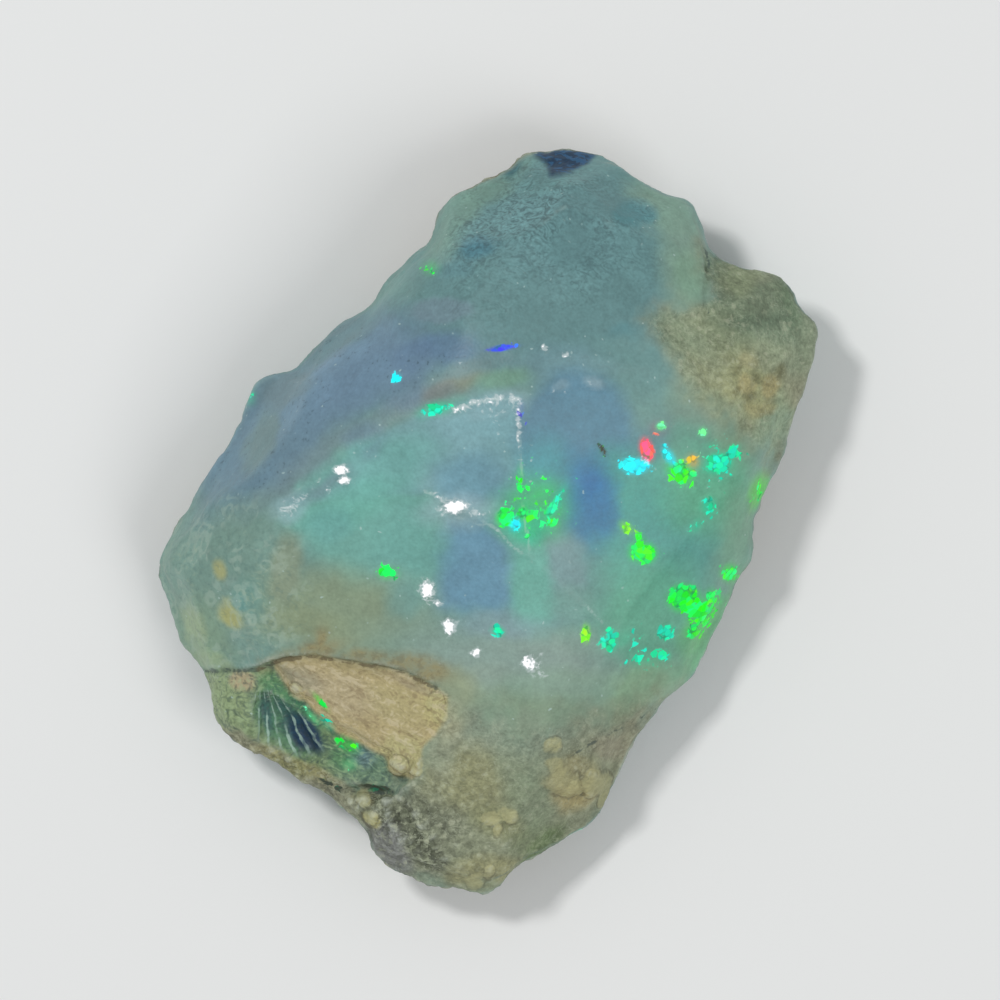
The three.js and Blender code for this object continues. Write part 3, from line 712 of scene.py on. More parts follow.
def shape_breaks(mesh):
    """Cuts the top's faces and steps and the chips of the sides."""
    points = coordinates(mesh)
    out, _ = widest_contour(points)
    lift = sway(np.arctan2(points[:, 1], points[:, 0])) * eased(0.5, 0.95, out)
    points[:, 2] += lift * eased(0.0, 1.5, points[:, 2])
    shape_top(points, normals(mesh))
    knock_chips(points)
    fill_out(points, 3)
    put_coordinates(mesh, points)


def ragged(edge, points, soft, reach):
    """A zone whose border is broken up into crumbs, soft mm wide."""
    plan = points[:, :2] - MIDDLE[:2]
    crumbs = reach * (rubble(points, 1.1, 101) + 0.6 * rubble(points, 0.4, 103))
    return eased(-soft, soft, depth_inside(edge, plan) + crumbs)


def surface_masks(points, facing):
    """How much of each kind of surface there is at each point, from 0 to 1."""
    plan = warped(points, 0.3)
    exact = warped(points, 0.1)
    up = eased(-0.05, 0.25, facing[:, 2])
    masks = types.SimpleNamespace(
        up=up,
        tongue=zone(TONGUE, exact, 0.1) * zone(HOLLOW, exact, 0.1) * up,
        right_rock=ragged(RIGHT_ROCK, points, 0.8, 0.65) * up,
        pitted=ragged(PITTED_BLOCK, points, 0.4, 0.3) * up,
        near_rock=ragged(NEAR_ROCK, points, 1.1, 0.7) * up,
        crumbly=ragged(CRUMBLY_ROCK, points, 0.3, 0.3) * up,
        ribs=zone(RIBBED_BREAK, exact, 0.12) * up,
        hollow=zone(HOLLOW, exact, 0.15) * up,
        far_face=zone(FAR_FACE, plan, 0.8) * up,
        violet=zone(VIOLET_BAND, plan, 0.5) * up,
        left_margin=zone(LEFT_MARGIN, plan, 1.0) * up,
        chip=ragged(FAR_CHIP, points, 0.12, 0.1) * up,
    )
    crust = eased(0.62, 0.3, path_distance(CRUST, plan)) * up
    # Out of sight from above, host rock comes and goes in broad patches.
    masks.hidden_rock = (1 - up) * eased(0.0, 0.2, rubble(points, 5.0, 71) + 0.3 * rubble(points, 0.9, 73))
    rocks = (masks.tongue, masks.right_rock, masks.near_rock, masks.crumbly, crust, masks.hidden_rock)
    masks.rock = np.max(rocks, axis=0) * (1 - masks.ribs)
    masks.crumbly = np.maximum(masks.crumbly, 0.55 * crust)
    outward = 0.12 + 0.5 * spot(plan, -3.01, -10.64, 2.55, 2.04)
    coarse = (masks.crumbly, 0.8 * masks.hidden_rock, outward * masks.near_rock, 0.15 * masks.right_rock)
    masks.coarse = np.max(coarse, axis=0)
    return masks


def blended(colours, cover, colour):
    """Lays a colour over the colours that are there, as far as cover lets it at each point."""
    colours += cover[:, None] * (np.array(srgb(colour)) - colours)


def laid_over(colours, zones, plan, share):
    """Lays soft ovals of colour over the colours that are there, each as far as share lets it."""
    for *place, softness, strength, colour in zones:
        cover = eased(1 + softness, 1 - softness, oval(plan, *place))
        blended(colours, strength * share * cover, colour)


def body_colours(points, facing, masks):
    """The colour of the opal and of the rock at each point, before its fine texture."""
    plan = warped(points, 0.32) + 0.1 * np.stack([rubble(points, 0.4, 33), rubble(points, 0.4, 35)], axis=1)
    up = masks.up
    drift = rubble(points, 5.0, 111)[:, None]
    colours = np.array(srgb(0x71948E)) + 0.03 * drift * np.array((-0.4, 0.3, 1.0))
    for edge, soft, strength, colour in FIELDS:
        blended(colours, strength * zone(edge, plan, soft) * up, colour)
    laid_over(colours, ZONES, plan, up)
    lit_end = eased(7.5, 10.5, plan[:, 0] + plan[:, 1] + 6)
    blended(colours, 0.6 * zone(RIDGE_FACET, warped(points, 0.1), 0.1) * lit_end * up, 0x7AA2A8)
    # A painted highlight: lighter teal along the lit side of the band.
    ridge_highlight = eased(0.42, 0.0, path_distance(LIT_RIDGE_HIGHLIGHT, plan)) * eased(-0.6, 0.4, rubble(points, 0.9, 117))
    blended(colours, 0.25 * ridge_highlight * up, 0x6CC4A8)
    laid_over(colours, POCKET_ZONES, plan, masks.hollow)
    rock = np.array(srgb(0x8A8A72)) * (1 + 0.12 * rubble(points, 2.0, 121)[:, None])
    laid_over(rock, ROCK_ZONES, plan, up)
    laid_over(rock, TONGUE_ZONES, plan, masks.tongue)
    mean = colours.mean(axis=1, keepdims=True)
    colours = mean + RICHNESS * (colours - mean)
    colours += masks.rock[:, None] * (rock - colours)
    blended(colours, masks.chip, 0x0E2E48)
    # Painted light: towards the edge, where the surface turns steep, the colour is made brighter, standing in
    # for light that comes through the thin stone and making up for the shade on the slopes.
    # Painted light, brighter on steep up-facing points.
    painted_edge_light = PAINTED_EDGE_LIGHT * eased(0.85, 0.3, facing[:, 2]) * up
    return (BRIGHTNESS + painted_edge_light[:, None]) * colours.clip(0.002, 1)


def stain_mask(points, up):
    """Brown stain that has crept up from the ledge."""
    plan = warped(points, 0.2)
    creep = 0.8 * eased(0.5, 0.0, path_distance(LEDGE[3:], plan)) * eased(-0.5, 0.3, rubble(points, 0.8, 107))
    return np.clip(creep + 1.2 * strongest(STAIN, plan), 0, 1) * up


def knobs(points):
    """How deep each point is inside a round grain, in radii, and how far the grain stands out."""
    push = np.stack([lumps(points, 0.42, seed) for seed in (161, 163)], axis=1)
    plan = warped(points, 0.12) + 0.13 * push
    inside = np.full(len(points), -2.0)
    stand = np.zeros(len(points))
    for x, y, radius, height in KNOBS:
        away = np.linalg.norm(plan - np.array((x, y)), axis=1) / radius
        inside = np.maximum(inside, 1 - away)
        stand = np.maximum(stand, height * np.sqrt(np.clip(1 - away**2, 0, 1)))
    return inside, stand


def relief(points, facing, masks):
    """How far the skin stands out at each point, in mm."""
    plan = points[:, :2] - MIDDLE[:2]
    rock = masks.rock
    opal = 1 - rock
    coarse = np.maximum(masks.crumbly, 0.6 * masks.hidden_rock)
    near, number = pebbles(warp_solid(points, 0.4, 0.12), GRAIN_SIZE, 5)
    grains = eased(0.75, 0.1, near) * (0.3 + number)
    crumbs = np.abs(rubble(points, 0.7, 17))
    height = 0.02 * rubble(points, 1.7, 3) + 0.005 * rubble(points, 0.45, 9)
    rough = rock * (1 - 0.8 * masks.tongue) * (0.3 + 0.7 * masks.coarse)
    gritty = 0.08 * (grains - 0.4) + 0.03 * rubble(points, 0.35, 23)
    height += rock * 0.06 * rubble(points, 1.3, 15) + rough * gritty
    height += coarse * (0.12 - 0.22 * crumbs + 0.07 * (grains - 0.4))
    height += masks.pitted * 0.05 * rubble(points, 0.5, 25)
    # Fine pits and felted fibres in the far face.
    pit, chance = pebbles(points, 0.34, 41)
    patchy = eased(-0.35, 0.2, rubble(points, 1.8, 43))
    height -= masks.far_face * opal * 0.025 * eased(0.5, 0.15, pit) * eased(0.3, 0.6, chance) * patchy
    height += masks.far_face * (0.008 * lumps(points, 0.2, 47) + 0.016 * rubble(points, 0.6, 48))
    # Bubbly opal along the left.
    bubble, size = pebbles(points, 0.75, 51)
    height += masks.left_margin * opal * 0.05 * np.sqrt(np.clip(1 - bubble**2 / 0.4, 0, 1)) * size
    # Ribs that fan out over the shell break in the hollow, and blades in the far chip.
    ribs = masks.ribs * 0.04 * np.sin(rib_phase(plan, points))
    height += ribs + masks.chip * 0.08 * rubble(points, 0.4, 59)
    # Striations along the tongue of host rock.
    across = plan @ np.array(ACROSS_STRIATIONS) + 0.16 * rubble(points, 1.4, 61)
    groove = np.sin(across * 2 * np.pi / STRIATION_SPACING) * eased(-0.3, 0.4, lumps(points, 0.9, 63))
    height += masks.tongue * 0.04 * groove
    height += knobs(points)[1] * masks.up
    for path, crest, spread in WELTS:
        height += crest * (1 - path_distance(path, plan) / spread).clip(0, 1) ** 1.5 * masks.up
    for path, depth, width in CRACKS:
        wander = path_distance(path, warped(points, 0.14)) + 0.03 * rubble(points, 0.9, 65)
        height -= depth * np.exp(-((wander / width) ** 2)) * masks.up
    # Small clean breaks, tilted to the light.
    for *place, strength in GLINTS:
        lean = (plan - np.array(place[:2])) @ np.array(GLINT_LEAN)
        height += lean * eased(0.4, 0.9, strength * spot(plan, *place)) * masks.up
    # Hollow flakes with sharp ridges between them, round the sides and underneath.
    flake, _ = pebbles(warp_solid(points, 2.5, 0.5), 3.2, 181)
    small, _ = pebbles(warp_solid(points, 1.0, 0.2), 1.3, 191)
    steep = opal * eased(0.93, 0.6, facing[:, 2])
    flaked = 0.05 * (small**2 - 0.3) * eased(-0.2, 0.4, rubble(points, 2.0, 193))
    height += steep * (0.34 * (flake**2 - 0.3) + flaked)
    # Ripples that spread from where the shell breaks on the sides began.
    for index, start in enumerate(RIPPLE_STARTS):
        away = np.linalg.norm(points - np.array(start), axis=1) + 0.15 * lumps(points, 1.5, 81 + index)
        ripple = np.sin(away * 2 * np.pi / RIPPLE_SPACING) * eased(6.0, 2.0, away)
        height += 0.024 * ripple * opal * eased(0.4, 0.1, facing[:, 2])
    # The flat break that it rests on stays flat, and the widest contour keeps its line.
    out, _ = widest_contour(points)
    notches = rubble(points, 1.1, 171, levels=2) - 0.7 * np.abs(rubble(points, 0.5, 173))
    height = height * (0.7 + 0.3 * eased(1.0, 0.96, out)) + 0.12 * notches * eased(0.95, 0.99, out)
    return height * eased(0.0, 0.5, points[:, 2])


def rib_phase(plan, points):
    """Turns as a place moves round the point that the ribs fan out from."""
    fan = plan - np.array(RIB_FAN)
    return 46 * np.arctan2(fan[:, 1], fan[:, 0]) + 2.2 * lumps(points, 0.8, 57) + 0.8 * lumps(points, 0.3, 58)


def paint(mesh, name, values):
    values = np.asarray(values, np.float32)
    if values.ndim == 1:
        layer = mesh.attributes.new(name, "FLOAT", "POINT")
        layer.data.foreach_set("value", values)
    else:
        layer = mesh.attributes.new(name, "FLOAT_COLOR", "POINT")
        layer.data.foreach_set("color", np.hstack([values, np.ones((len(values), 1), np.float32)]).ravel())


# Play of colour: where it flashes, how far it spreads, its turn, how dense it is there, and its colour.
# SHADE isn't a flash: the small dark cracks and shadows are painted in the same way.
GREEN = (0.0, 0.78, 0.04)
LIME = (0.22, 0.82, 0.0)
MINT = (0.12, 0.75, 0.28)
AQUA = (0.0, 0.62, 0.32)
CYAN = (0.0, 0.78, 0.84)
ORANGE = (0.75, 0.4, 0.02)
RED = (0.86, 0.07, 0.15)
SHADE = (0.035, 0.045, 0.03)
BLUE = (0.03, 0.06, 0.8)
VIOLET = (0.07, 0.12, 0.5)
FLASHES = [
    (6.61, -2.58, 0.44, 0.37, 0, 2.2, GREEN), (7.23, -3.06, 0.51, 0.51, 0, 1, GREEN),
    (7.63, -2.58, 0.34, 0.34, 0, 0.8, GREEN), (6.99, -3.71, 0.34, 0.24, 0, 0.85, GREEN),
    (5.19, -1.02, 0.41, 0.31, -15, 1.9, GREEN), (4.68, -0.2, 0.34, 0.17, -35, 0.95, LIME),
    (5.08, -0.54, 0.37, 0.2, -40, 0.7, GREEN), (8.18, -1.73, 0.31, 0.31, 0, 1.05, GREEN),
    (0.56, 0.14, 0.27, 0.27, 0, 1.6, GREEN), (0.9, -0.07, 0.24, 0.24, 0, 0.95, CYAN),
    (1.17, 0.31, 0.2, 0.27, 0, 1, GREEN), (1.68, 0.48, 1.09, 1.16, 0, 0.5, GREEN),
    (2.23, 0.61, 0.65, 0.2, 62, 0.95, AQUA), (2.12, 0.03, 0.34, 0.2, -20, 0.85, GREEN),
    (6.48, 1.67, 0.44, 0.31, -30, 1.5, GREEN), (6.1, 2.18, 0.41, 0.17, -58, 1.15, CYAN),
    (6.89, 2.04, 0.31, 0.31, 0, 0.6, ORANGE), (6.48, 1.73, 0.17, 0.14, -30, 1.2, CYAN),
    (4.91, 1.9, 0.41, 0.22, -4, 2.4, CYAN), (5.32, 2.45, 0.19, 0.34, 14, 2, RED),
    (5.66, 3.13, 0.41, 0.34, 0, 0.28, RED), (7.77, 2.01, 0.48, 0.37, 30, 1.5, AQUA),
    (7.74, 2.04, 0.88, 0.68, 30, 0.5, AQUA), (8.21, 2.45, 0.31, 0.2, 30, 0.85, AQUA),
    (7.53, 2.58, 0.37, 0.2, 10, 0.6, AQUA), (5.8, 3.23, 0.19, 0.15, 30, 1.2, MINT),
    (7.23, 3.03, 0.17, 0.17, 0, 1.2, MINT), (7.43, 0.51, 0.27, 0.34, 0, 1, AQUA),
    (7.02, -0.1, 0.34, 0.2, 50, 0.7, AQUA), (6, -3.71, 0.24, 0.24, 0, 1.25, AQUA),
    (5.93, -4.52, 0.24, 0.2, 0, 1.1, AQUA), (4.13, -4.01, 0.34, 0.44, 0, 0.85, AQUA),
    (5.15, -4.52, 0.88, 0.44, -15, 0.55, AQUA), (4.64, -4.01, 0.75, 0.54, 0, 0.42, AQUA),
    (3.28, -3.77, 0.14, 0.31, 0, 1.3, LIME), (0.32, -3.67, 0.24, 0.17, -20, 1.1, AQUA),
    (-3.08, 4.86, 0.15, 0.15, 0, 0.95, CYAN), (0.46, 5.85, 0.44, 0.08, 8, 1.7, BLUE),
    (1.1, 3.71, 0.17, 0.41, 0, 0.5, VIOLET), (-3.38, -1.7, 0.37, 0.24, 0, 0.8, GREEN),
    (-1.96, 8.57, 0.37, 0.31, 0, 0.42, GREEN), (9.13, 0.92, 0.31, 0.61, -12, 0.5, GREEN),
    (-8.11, 4.25, 0.27, 0.34, 0, 0.5, AQUA), (1.07, 1.36, 0.17, 0.61, 0, 0.6, GREEN),
    (-1.75, 3.81, 0.61, 0.24, 12, 0.8, AQUA), (-5.7, -6.05, 0.41, 0.1, -50, 0.85, GREEN),
    (-5.97, -6.6, 0.41, 0.1, -50, 0.7, MINT), (-5.46, -6.8, 0.48, 0.2, -50, 0.5, AQUA),
    (-4.78, -7.51, 0.58, 0.27, -30, 0.5, GREEN), (-4.71, -8.23, 0.34, 0.27, 0, 0.45, MINT),
    (3.83, 2.45, 0.26, 0.07, -50, 1.3, SHADE), (-3.83, -9.01, 0.58, 0.08, -8, 1.2, SHADE),
    (-5.53, -8.81, 0.31, 0.07, -20, 0.9, SHADE), (-5.05, -9.04, 0.17, 0.1, -40, 0.9, SHADE),
]


def fire(points, facing):
    """How strongly each place flashes, and its flash's colour."""
    plan = points[:, :2] - MIDDLE[:2]
    up = eased(-0.2, 0.2, facing[:, 2])
    chances = np.stack([strength * spot(plan, *place) * up for *place, strength, _ in FLASHES], axis=1)
    # Out of sight from above, a few places flash too.
    hidden = eased(0.3, 0.7, rubble(points, 2.6, 91)) * (1 - up) * 0.9
    chances = np.hstack([chances, hidden[:, None]])
    colours = np.array([colour for *_, colour in FLASHES] + [AQUA])
    weights = chances**4 + 1e-9
    blend = (weights @ colours) / weights.sum(axis=1, keepdims=True)
    return chances.max(axis=1), blend


def paint_stone(mesh, points, facing, masks):
    """Paints what the finish uses on the stone's points."""
    # Sharp edges stand proud of their neighbours' mean, and pits lie below it.
    proud = ((points - neighbour_mean(mesh, points)) * normals(mesh)).sum(axis=1)
    proud = neighbour_mean(mesh, proud[:, None])[:, 0] / SKIN_GRID
    paint(mesh, "edge", eased(0.03, 0.22, proud))
    paint(mesh, "pit", eased(-0.02, -0.18, proud))
    for name in ("rock", "violet", "far_face", "left_margin", "tongue", "coarse", "ribs", "chip", "hollow"):
        paint(mesh, name, getattr(masks, name))
    paint(mesh, "tint", body_colours(points, facing, masks))
    paint(mesh, "stain", stain_mask(points, masks.up))
    plan = points[:, :2] - MIDDLE[:2]
    paint(mesh, "rib_phase", rib_phase(plan, points))
    out, contour = widest_contour(points)
    # A painted highlight: a thin pale line along the widest contour.
    paint(mesh, "rim", eased(0.985, 0.998, out) * eased(0.22, 0.08, np.abs(points[:, 2] - contour)))
    hidden = FAR_AWAY * (1 - masks.up)
    paint(mesh, "vein", np.minimum(nearest_path(VEINS, warped(points, 0.06)) + hidden, FAR_AWAY))
    deep = [path for path, depth, _ in CRACKS if depth > 0.1]
    shallow = [path for path, depth, _ in CRACKS if depth <= 0.1]
    # Shallow cracks are drawn finer than deep ones.
    crack = np.minimum(
        nearest_path(deep, warped(points, 0.14)), nearest_path(shallow, warped(points, 0.1)) + 0.045
    )
    paint(mesh, "crack", np.minimum(crack + hidden, FAR_AWAY))
    paint(mesh, "cloud", 0.5 + 0.5 * rubble(points, 1.5, 131))
    paint(mesh, "wisp", 0.5 + 0.5 * rubble(warp_solid(points, 0.5, 0.35), 0.6, 133))
    grain, grain_tone = pebbles(warp_solid(points, 0.4, 0.12), GRAIN_SIZE, 5)
    paint(mesh, "grain", grain)
    paint(mesh, "grain_tone", grain_tone)
    paint(mesh, "felted", strongest(FELT, plan).clip(0, 1) * masks.far_face)
    paint(mesh, "knob", knobs(points)[0] - 2 * (1 - masks.up))
    paint(mesh, "bubble", pebbles(warp_solid(points, 0.4, 0.2), 0.6, 137)[0])
    # Painted highlights at the glints, and frost along the frosted edges.
    glint = strongest(GLINTS, plan)
    for path, width, strength in FROSTED_EDGES:
        away = path_distance(path, warped(points, 0.1)) / width
        glint = np.maximum(glint, strength * np.exp(-(away**2)))
    paint(mesh, "glint", glint * masks.up)
    chance, colour = fire(points, facing)
    paint(mesh, "fire", chance)
    paint(mesh, "fire_colour", colour)


def make_stone():
    """The finished stone: the CAD solid with its breaks cut crisp, its skin roughened and painted."""
    mesh = regridded(merged_copy(NODE), SHAPING_GRID)
    smooth(mesh, SHAPING_PASSES)
    shape_breaks(mesh)
    mesh = regridded(mesh, SKIN_GRID)
    smooth(mesh, SKIN_PASSES)
    points = coordinates(mesh)
    fill_out(points, 1)
    put_coordinates(mesh, points)
    facing = normals(mesh)
    masks = surface_masks(points, facing)
    points = points + facing * relief(points, facing, masks)[:, None]
    points[:, 2] = points[:, 2].clip(0.0)
    put_coordinates(mesh, points)
    paint_stone(mesh, points, facing, masks)
    mesh.shade_smooth()
    stone = bpy.data.objects.new("opal_stone", mesh)
    bpy.context.scene.collection.objects.link(stone)
    return stone


# Finishes.

class Value:
    """A number that varies over a surface. Arithmetic on it adds the Math nodes that work it out."""

    def __init__(self, finish, socket):
        self.finish = finish
        self.socket = socket

    def step(self, operation, *inputs, clamp=False):
        settings = {"operation": operation, "use_clamp": clamp}
        node = self.finish.node("ShaderNodeMath", settings, dict(enumerate(inputs)))
        return Value(self.finish, node.outputs[0])

    def __add__(self, other):
        return self.step("ADD", self, other)

    def __sub__(self, other):
        return self.step("SUBTRACT", self, other)

    def __rsub__(self, other):
        return self.step("SUBTRACT", other, self)

    def __mul__(self, other):
        return self.step("MULTIPLY", self, other)

    __radd__ = __add__
    __rmul__ = __mul__

    def between(self, low, high):
        """0 below low and 1 above high, with a smooth rise between."""
        settings = {"interpolation_type": "SMOOTHSTEP"}
        flipped = low > high
        sockets = {0: self, 1: min(low, high), 2: max(low, high), 3: 1.0 * flipped, 4: 1.0 - flipped}
        node = self.finish.node("ShaderNodeMapRange", settings, sockets)
        return Value(self.finish, node.outputs[0])

    def clamped(self):
        return self.step("ADD", self, 0.0, clamp=True)


class Finish:
    """A material whose nodes are added one by one."""

    def __init__(self, name):
        self.material = bpy.data.materials.new(name)
        self.material.use_nodes = True
        self.tree = self.material.node_tree
        self.tree.nodes.clear()
        self.base = None

    def node(self, kind, settings=None, sockets=None):
        """Adds a node with its settings, then its sockets' values or links."""
        node = self.tree.nodes.new(kind)
        for name, value in (settings or {}).items():
            setattr(node, name, value)
        for name, value in (sockets or {}).items():
            self.feed(node.inputs[name], value)
        return node

    def feed(self, socket, value):
        source = value.socket if isinstance(value, Value) else value
        if isinstance(source, bpy.types.NodeSocket):
            self.tree.links.new(source, socket)
        elif isinstance(source, tuple) and len(source) == 3 and socket.type == "RGBA":
            socket.default_value = (*source, 1.0)
        else:
            socket.default_value = source

    def painted(self, name):
        return Value(self, self.node("ShaderNodeAttribute", {"attribute_name": name}).outputs["Fac"])

    def painted_colour(self, name):
        return self.node("ShaderNodeAttribute", {"attribute_name": name}).outputs["Color"]

    def mix(self, share, first, second, blend="MIX"):
        settings = {"data_type": "RGBA", "blend_type": blend}
        return self.node("ShaderNodeMix", settings, {0: share, 6: first, 7: second}).outputs[2]

    def vector(self, operation, sockets):
        return self.node("ShaderNodeVectorMath", {"operation": operation}, sockets).outputs[0]

    def lay(self, cover, colour):
        """Lays a colour over the base as far as cover lets it."""
        self.base = self.mix(cover, self.base, srgb(colour) if isinstance(colour, int) else colour)

    def place(self):
        return self.node("ShaderNodeTexCoord").outputs["Object"]

    def noise(self, place, size, detail=3.0, distortion=0.0):
        """Unevenness about 0.5, with bumps about size mm across."""
        sockets = {"Vector": place, "Scale": 1 / (size * MM), "Detail": detail, "Distortion": distortion}
        return Value(self, self.node("ShaderNodeTexNoise", None, sockets).outputs["Fac"])

    def bent(self, place, size, reach):
        """A place pushed about by up to reach mm, in bends about size mm long."""
        sockets = {"Vector": place, "Scale": 1 / (size * MM), "Detail": 0.0}
        noise = self.node("ShaderNodeTexNoise", None, sockets)
        sockets = {0: noise.outputs["Color"], 1: (reach * MM,) * 3, 2: place}
        return self.vector("MULTIPLY_ADD", sockets)

    def turned(self, place, degrees, stretch):
        """A place turned about the upright axis, then stretched."""
        sockets = {"Vector": place, "Rotation": (0.0, 0.0, math.radians(degrees))}
        turned = self.node("ShaderNodeMapping", None, sockets).outputs[0]
        return self.vector("MULTIPLY", {0: turned, 1: stretch})

    def scaled(self, colour, factor):
        return self.vector("SCALE", {0: colour, "Scale": factor})

    def grains(self, place, size):
        """Cells about size mm across, with a random colour each."""
        return self.node("ShaderNodeTexVoronoi", None, {"Vector": place, "Scale": 1 / (size * MM)})


# What is painted on the stone's points for its finish to use.
PAINTED = (
    "rock violet far_face left_margin tongue coarse ribs chip hollow stain edge pit rim vein crack glint "
    "fire rib_phase cloud wisp bubble grain grain_tone knob felted"
).split()


def opal_finish():
    """Milky opal with host rock grown into it, and flashes of colour in it."""
    opal = Finish("opal")
    place = opal.place()
    mask = types.SimpleNamespace(**{name: opal.painted(name) for name in PAINTED})
    cloud, wisp = mask.cloud, mask.wisp
    fine = opal.noise(place, 0.22, 2.0)
    dust = opal.noise(place, 0.09, 0.0)
    felt = opal.noise(opal.turned(place, 12, (1.0, 1.3, 1.0)), 0.5, 3.0, 2.6)
    rock = (mask.rock + (felt - 0.5) * 0.7).between(0.3, 0.7)
    milk = 1 - rock
    cells = opal.grains(opal.bent(place, 0.3, 0.2), 0.22)
    number = opal.node("ShaderNodeSeparateColor", None, {0: cells.outputs["Color"]})
    chance, shift, power = (Value(opal, number.outputs[index]) for index in range(3))
    middle = Value(opal, cells.outputs["Distance"])

    # Milky clouds, felted fibres, pebbly rings and specks in the opal.
    light = 1 + (cloud - 0.5) * 0.22 * milk + (wisp - 0.5) * 0.22 * milk
    light = light + (fine - 0.5) * 0.35 + (dust - 0.5) * 0.16
    felted = (mask.felted * cloud.between(0.25, 0.55) + mask.hollow * 0.7) * milk
    light = light + felted * ((felt - 0.5) * 1.7 + (dust - 0.5) * 0.4)
    opal.base = opal.scaled(opal.painted_colour("tint"), light)
    opal.lay(felted * felt.between(0.47, 0.41) * 0.28, 0x466268)
    ring = mask.bubble + (fine - 0.5) * 0.3
    arc = ring.between(0.26, 0.36) * ring.between(0.56, 0.46) * wisp.between(0.42, 0.56)
    margin = mask.left_margin * milk
    blotch = felt * 0.7 + fine * 0.3
    opal.lay(margin * blotch.between(0.54, 0.58) * cloud.between(0.45, 0.6) * 0.3, 0x96A890)
    opal.lay(margin * blotch.between(0.45, 0.41) * 0.22, 0x527674)
    opal.lay(margin * arc * 0.3, 0xA8BCAC)
    pores = (fine * 0.6 + dust * 0.4).between(0.4, 0.32) * mask.violet * cloud.between(0.48, 0.6)
    opal.lay(pores * 0.45, 0x3C545C)
    speck = middle.between(0.25, 0.12) * chance.between(0.86, 0.9) * milk * wisp.between(0.4, 0.6)
    opal.lay(speck * 0.5, 0xB4CCC8)

    # Grains, dark gaps and crumbs in the rock.
    coarse = mask.coarse
    plain = 1 - mask.tongue
    uneven = ((mask.grain_tone - 0.5) * 0.25 + (0.4 - mask.grain) * 0.3) * (coarse * 0.7 + 0.3) * plain
    uneven = uneven + (felt - 0.5) * (coarse * 0.5 + 0.25) + (dust - 0.5) * (coarse * 0.3 + 0.12)
    uneven = uneven + ((chance - 0.5) * 0.8 + (0.4 - middle) * 0.7) * (coarse * 0.8 + 0.05) * plain
    opal.lay(rock, opal.scaled(opal.base, 1 + uneven))
    gap = (mask.grain + (fine - 0.5) * 0.7).between(0.68, 0.78) * plain
    opal.lay(gap * (coarse * 0.55 + 0.08) * rock, 0x424636)
    crumb = chance.between(0.7, 0.8) * middle.between(0.5, 0.3) * plain * wisp.between(0.45, 0.6)
    opal.lay(crumb * rock * (coarse * 0.35 + 0.2), 0xBABCA2)
    bare = rock * plain
    pale_curl = felt.between(0.52, 0.535) * felt.between(0.575, 0.56) * wisp.between(0.42, 0.56)
    curled = bare * (coarse * 0.6 + 0.4)
    opal.lay(pale_curl * curled * 0.45, 0xBAC2AA)
    dark_curl = felt.between(0.44, 0.455) * felt.between(0.485, 0.47) * wisp.between(0.55, 0.42)
    opal.lay(dark_curl * curled * 0.55, 0x4C523E)
    opal.lay(fine.between(0.56, 0.62) * bare * (coarse * 0.3 + 0.08), 0xB6BCA0)
    opal.lay(fine.between(0.43, 0.38) * bare * (coarse * 0.35 + 0.08), 0x4E5440)

    # Tan grains with dark lines round them, painted lighter towards their middles as a painted highlight on
    # each grain.
    knob = mask.knob + (fine - 0.5) * 0.5
    tan_with_painted_highlight = opal.scaled(srgb(0xAAA77A), 0.9 + (felt - 0.5) * 0.9 + mask.knob.clamped() * 0.3)
    opal.lay(knob.between(-0.1, 0.25) * (mask.grain_tone * 0.3 + 0.4), tan_with_painted_highlight)
    opal.lay(knob.between(-0.2, -0.05) * knob.between(0.12, 0.0) * wisp.between(0.4, 0.6) * 0.5, 0x58543C)

    # Long striations in the tongue.
    streak = opal.noise(opal.turned(place, 26.6, (0.26, 1.0, 1.0)), 0.26, 3.0)
    layer = streak * 0.55 + felt * 0.45
    opal.lay(mask.tongue * layer.between(0.475, 0.4) * 0.45, 0x827054)
    opal.lay(mask.tongue * layer.between(0.52, 0.6) * 0.4, 0xCEC2A4)

    # Pale feathery ribs in the break in the hollow, and blades in the far chip.
    rib = mask.rib_phase.step("SINE", mask.rib_phase) + (fine - 0.5) * 1.3
    opal.lay(mask.ribs * rib.between(0.5, 1.0) * wisp.between(0.3, 0.5) * 0.75, 0x9EBAAC)
    opal.lay(mask.ribs * rib.between(-0.5, -1.2) * cloud.between(0.6, 0.35) * 0.4, 0x0E2830)
    opal.lay(mask.chip * layer.between(0.49, 0.57) * 0.7, 0x28608A)
    pocket = mask.hollow * milk * (1 - mask.ribs)
    opal.lay(pocket * (fine * 0.6 + felt * 0.4).between(0.48, 0.4) * 0.28, 0x324E3A)
    opal.lay(pocket * (fine * 0.5 + felt * 0.5).between(0.54, 0.6) * 0.4, 0x96AC84)

    # Stain, pits painted darker, edges painted paler, pale lines, cracks with painted shadow, frost, and
    # painted highlights on the rim and at the glints.
    rust = mask.stain * ((wisp - 0.5) * 0.8 + (felt - 0.5) * 0.7 + 0.75).clamped()
    opal.lay(rust, 0x8E8660)
    opal.lay(mask.stain * (felt * 0.5 + fine * 0.5).between(0.5, 0.42) * 0.3, 0x68583A)
    # Points in pits are painted darker.
    opal.lay(mask.pit * 0.3, 0x404636)
    # Sharp edges are painted paler: partly bruising, partly a painted highlight.
    opal.lay(mask.edge * 0.38, 0xC8D0C4)
    line = (mask.vein + (fine - 0.5) * 0.12).between(0.08, 0.02) * wisp.between(0.38, 0.62)
    opal.lay(line * 0.4, 0xB4CCC6)
    # Cracks are painted dark: their own dark filling, with painted shadow in them.
    crack = (mask.crack + (fine - 0.5) * 0.12 + (0.5 - wisp) * 0.2).between(0.066, 0.025)
    shade = opal.mix(mask.stain.between(0.0, 0.4), srgb(0x304242), srgb(0x4E422E))
    opal.lay(crack * 0.62, shade)
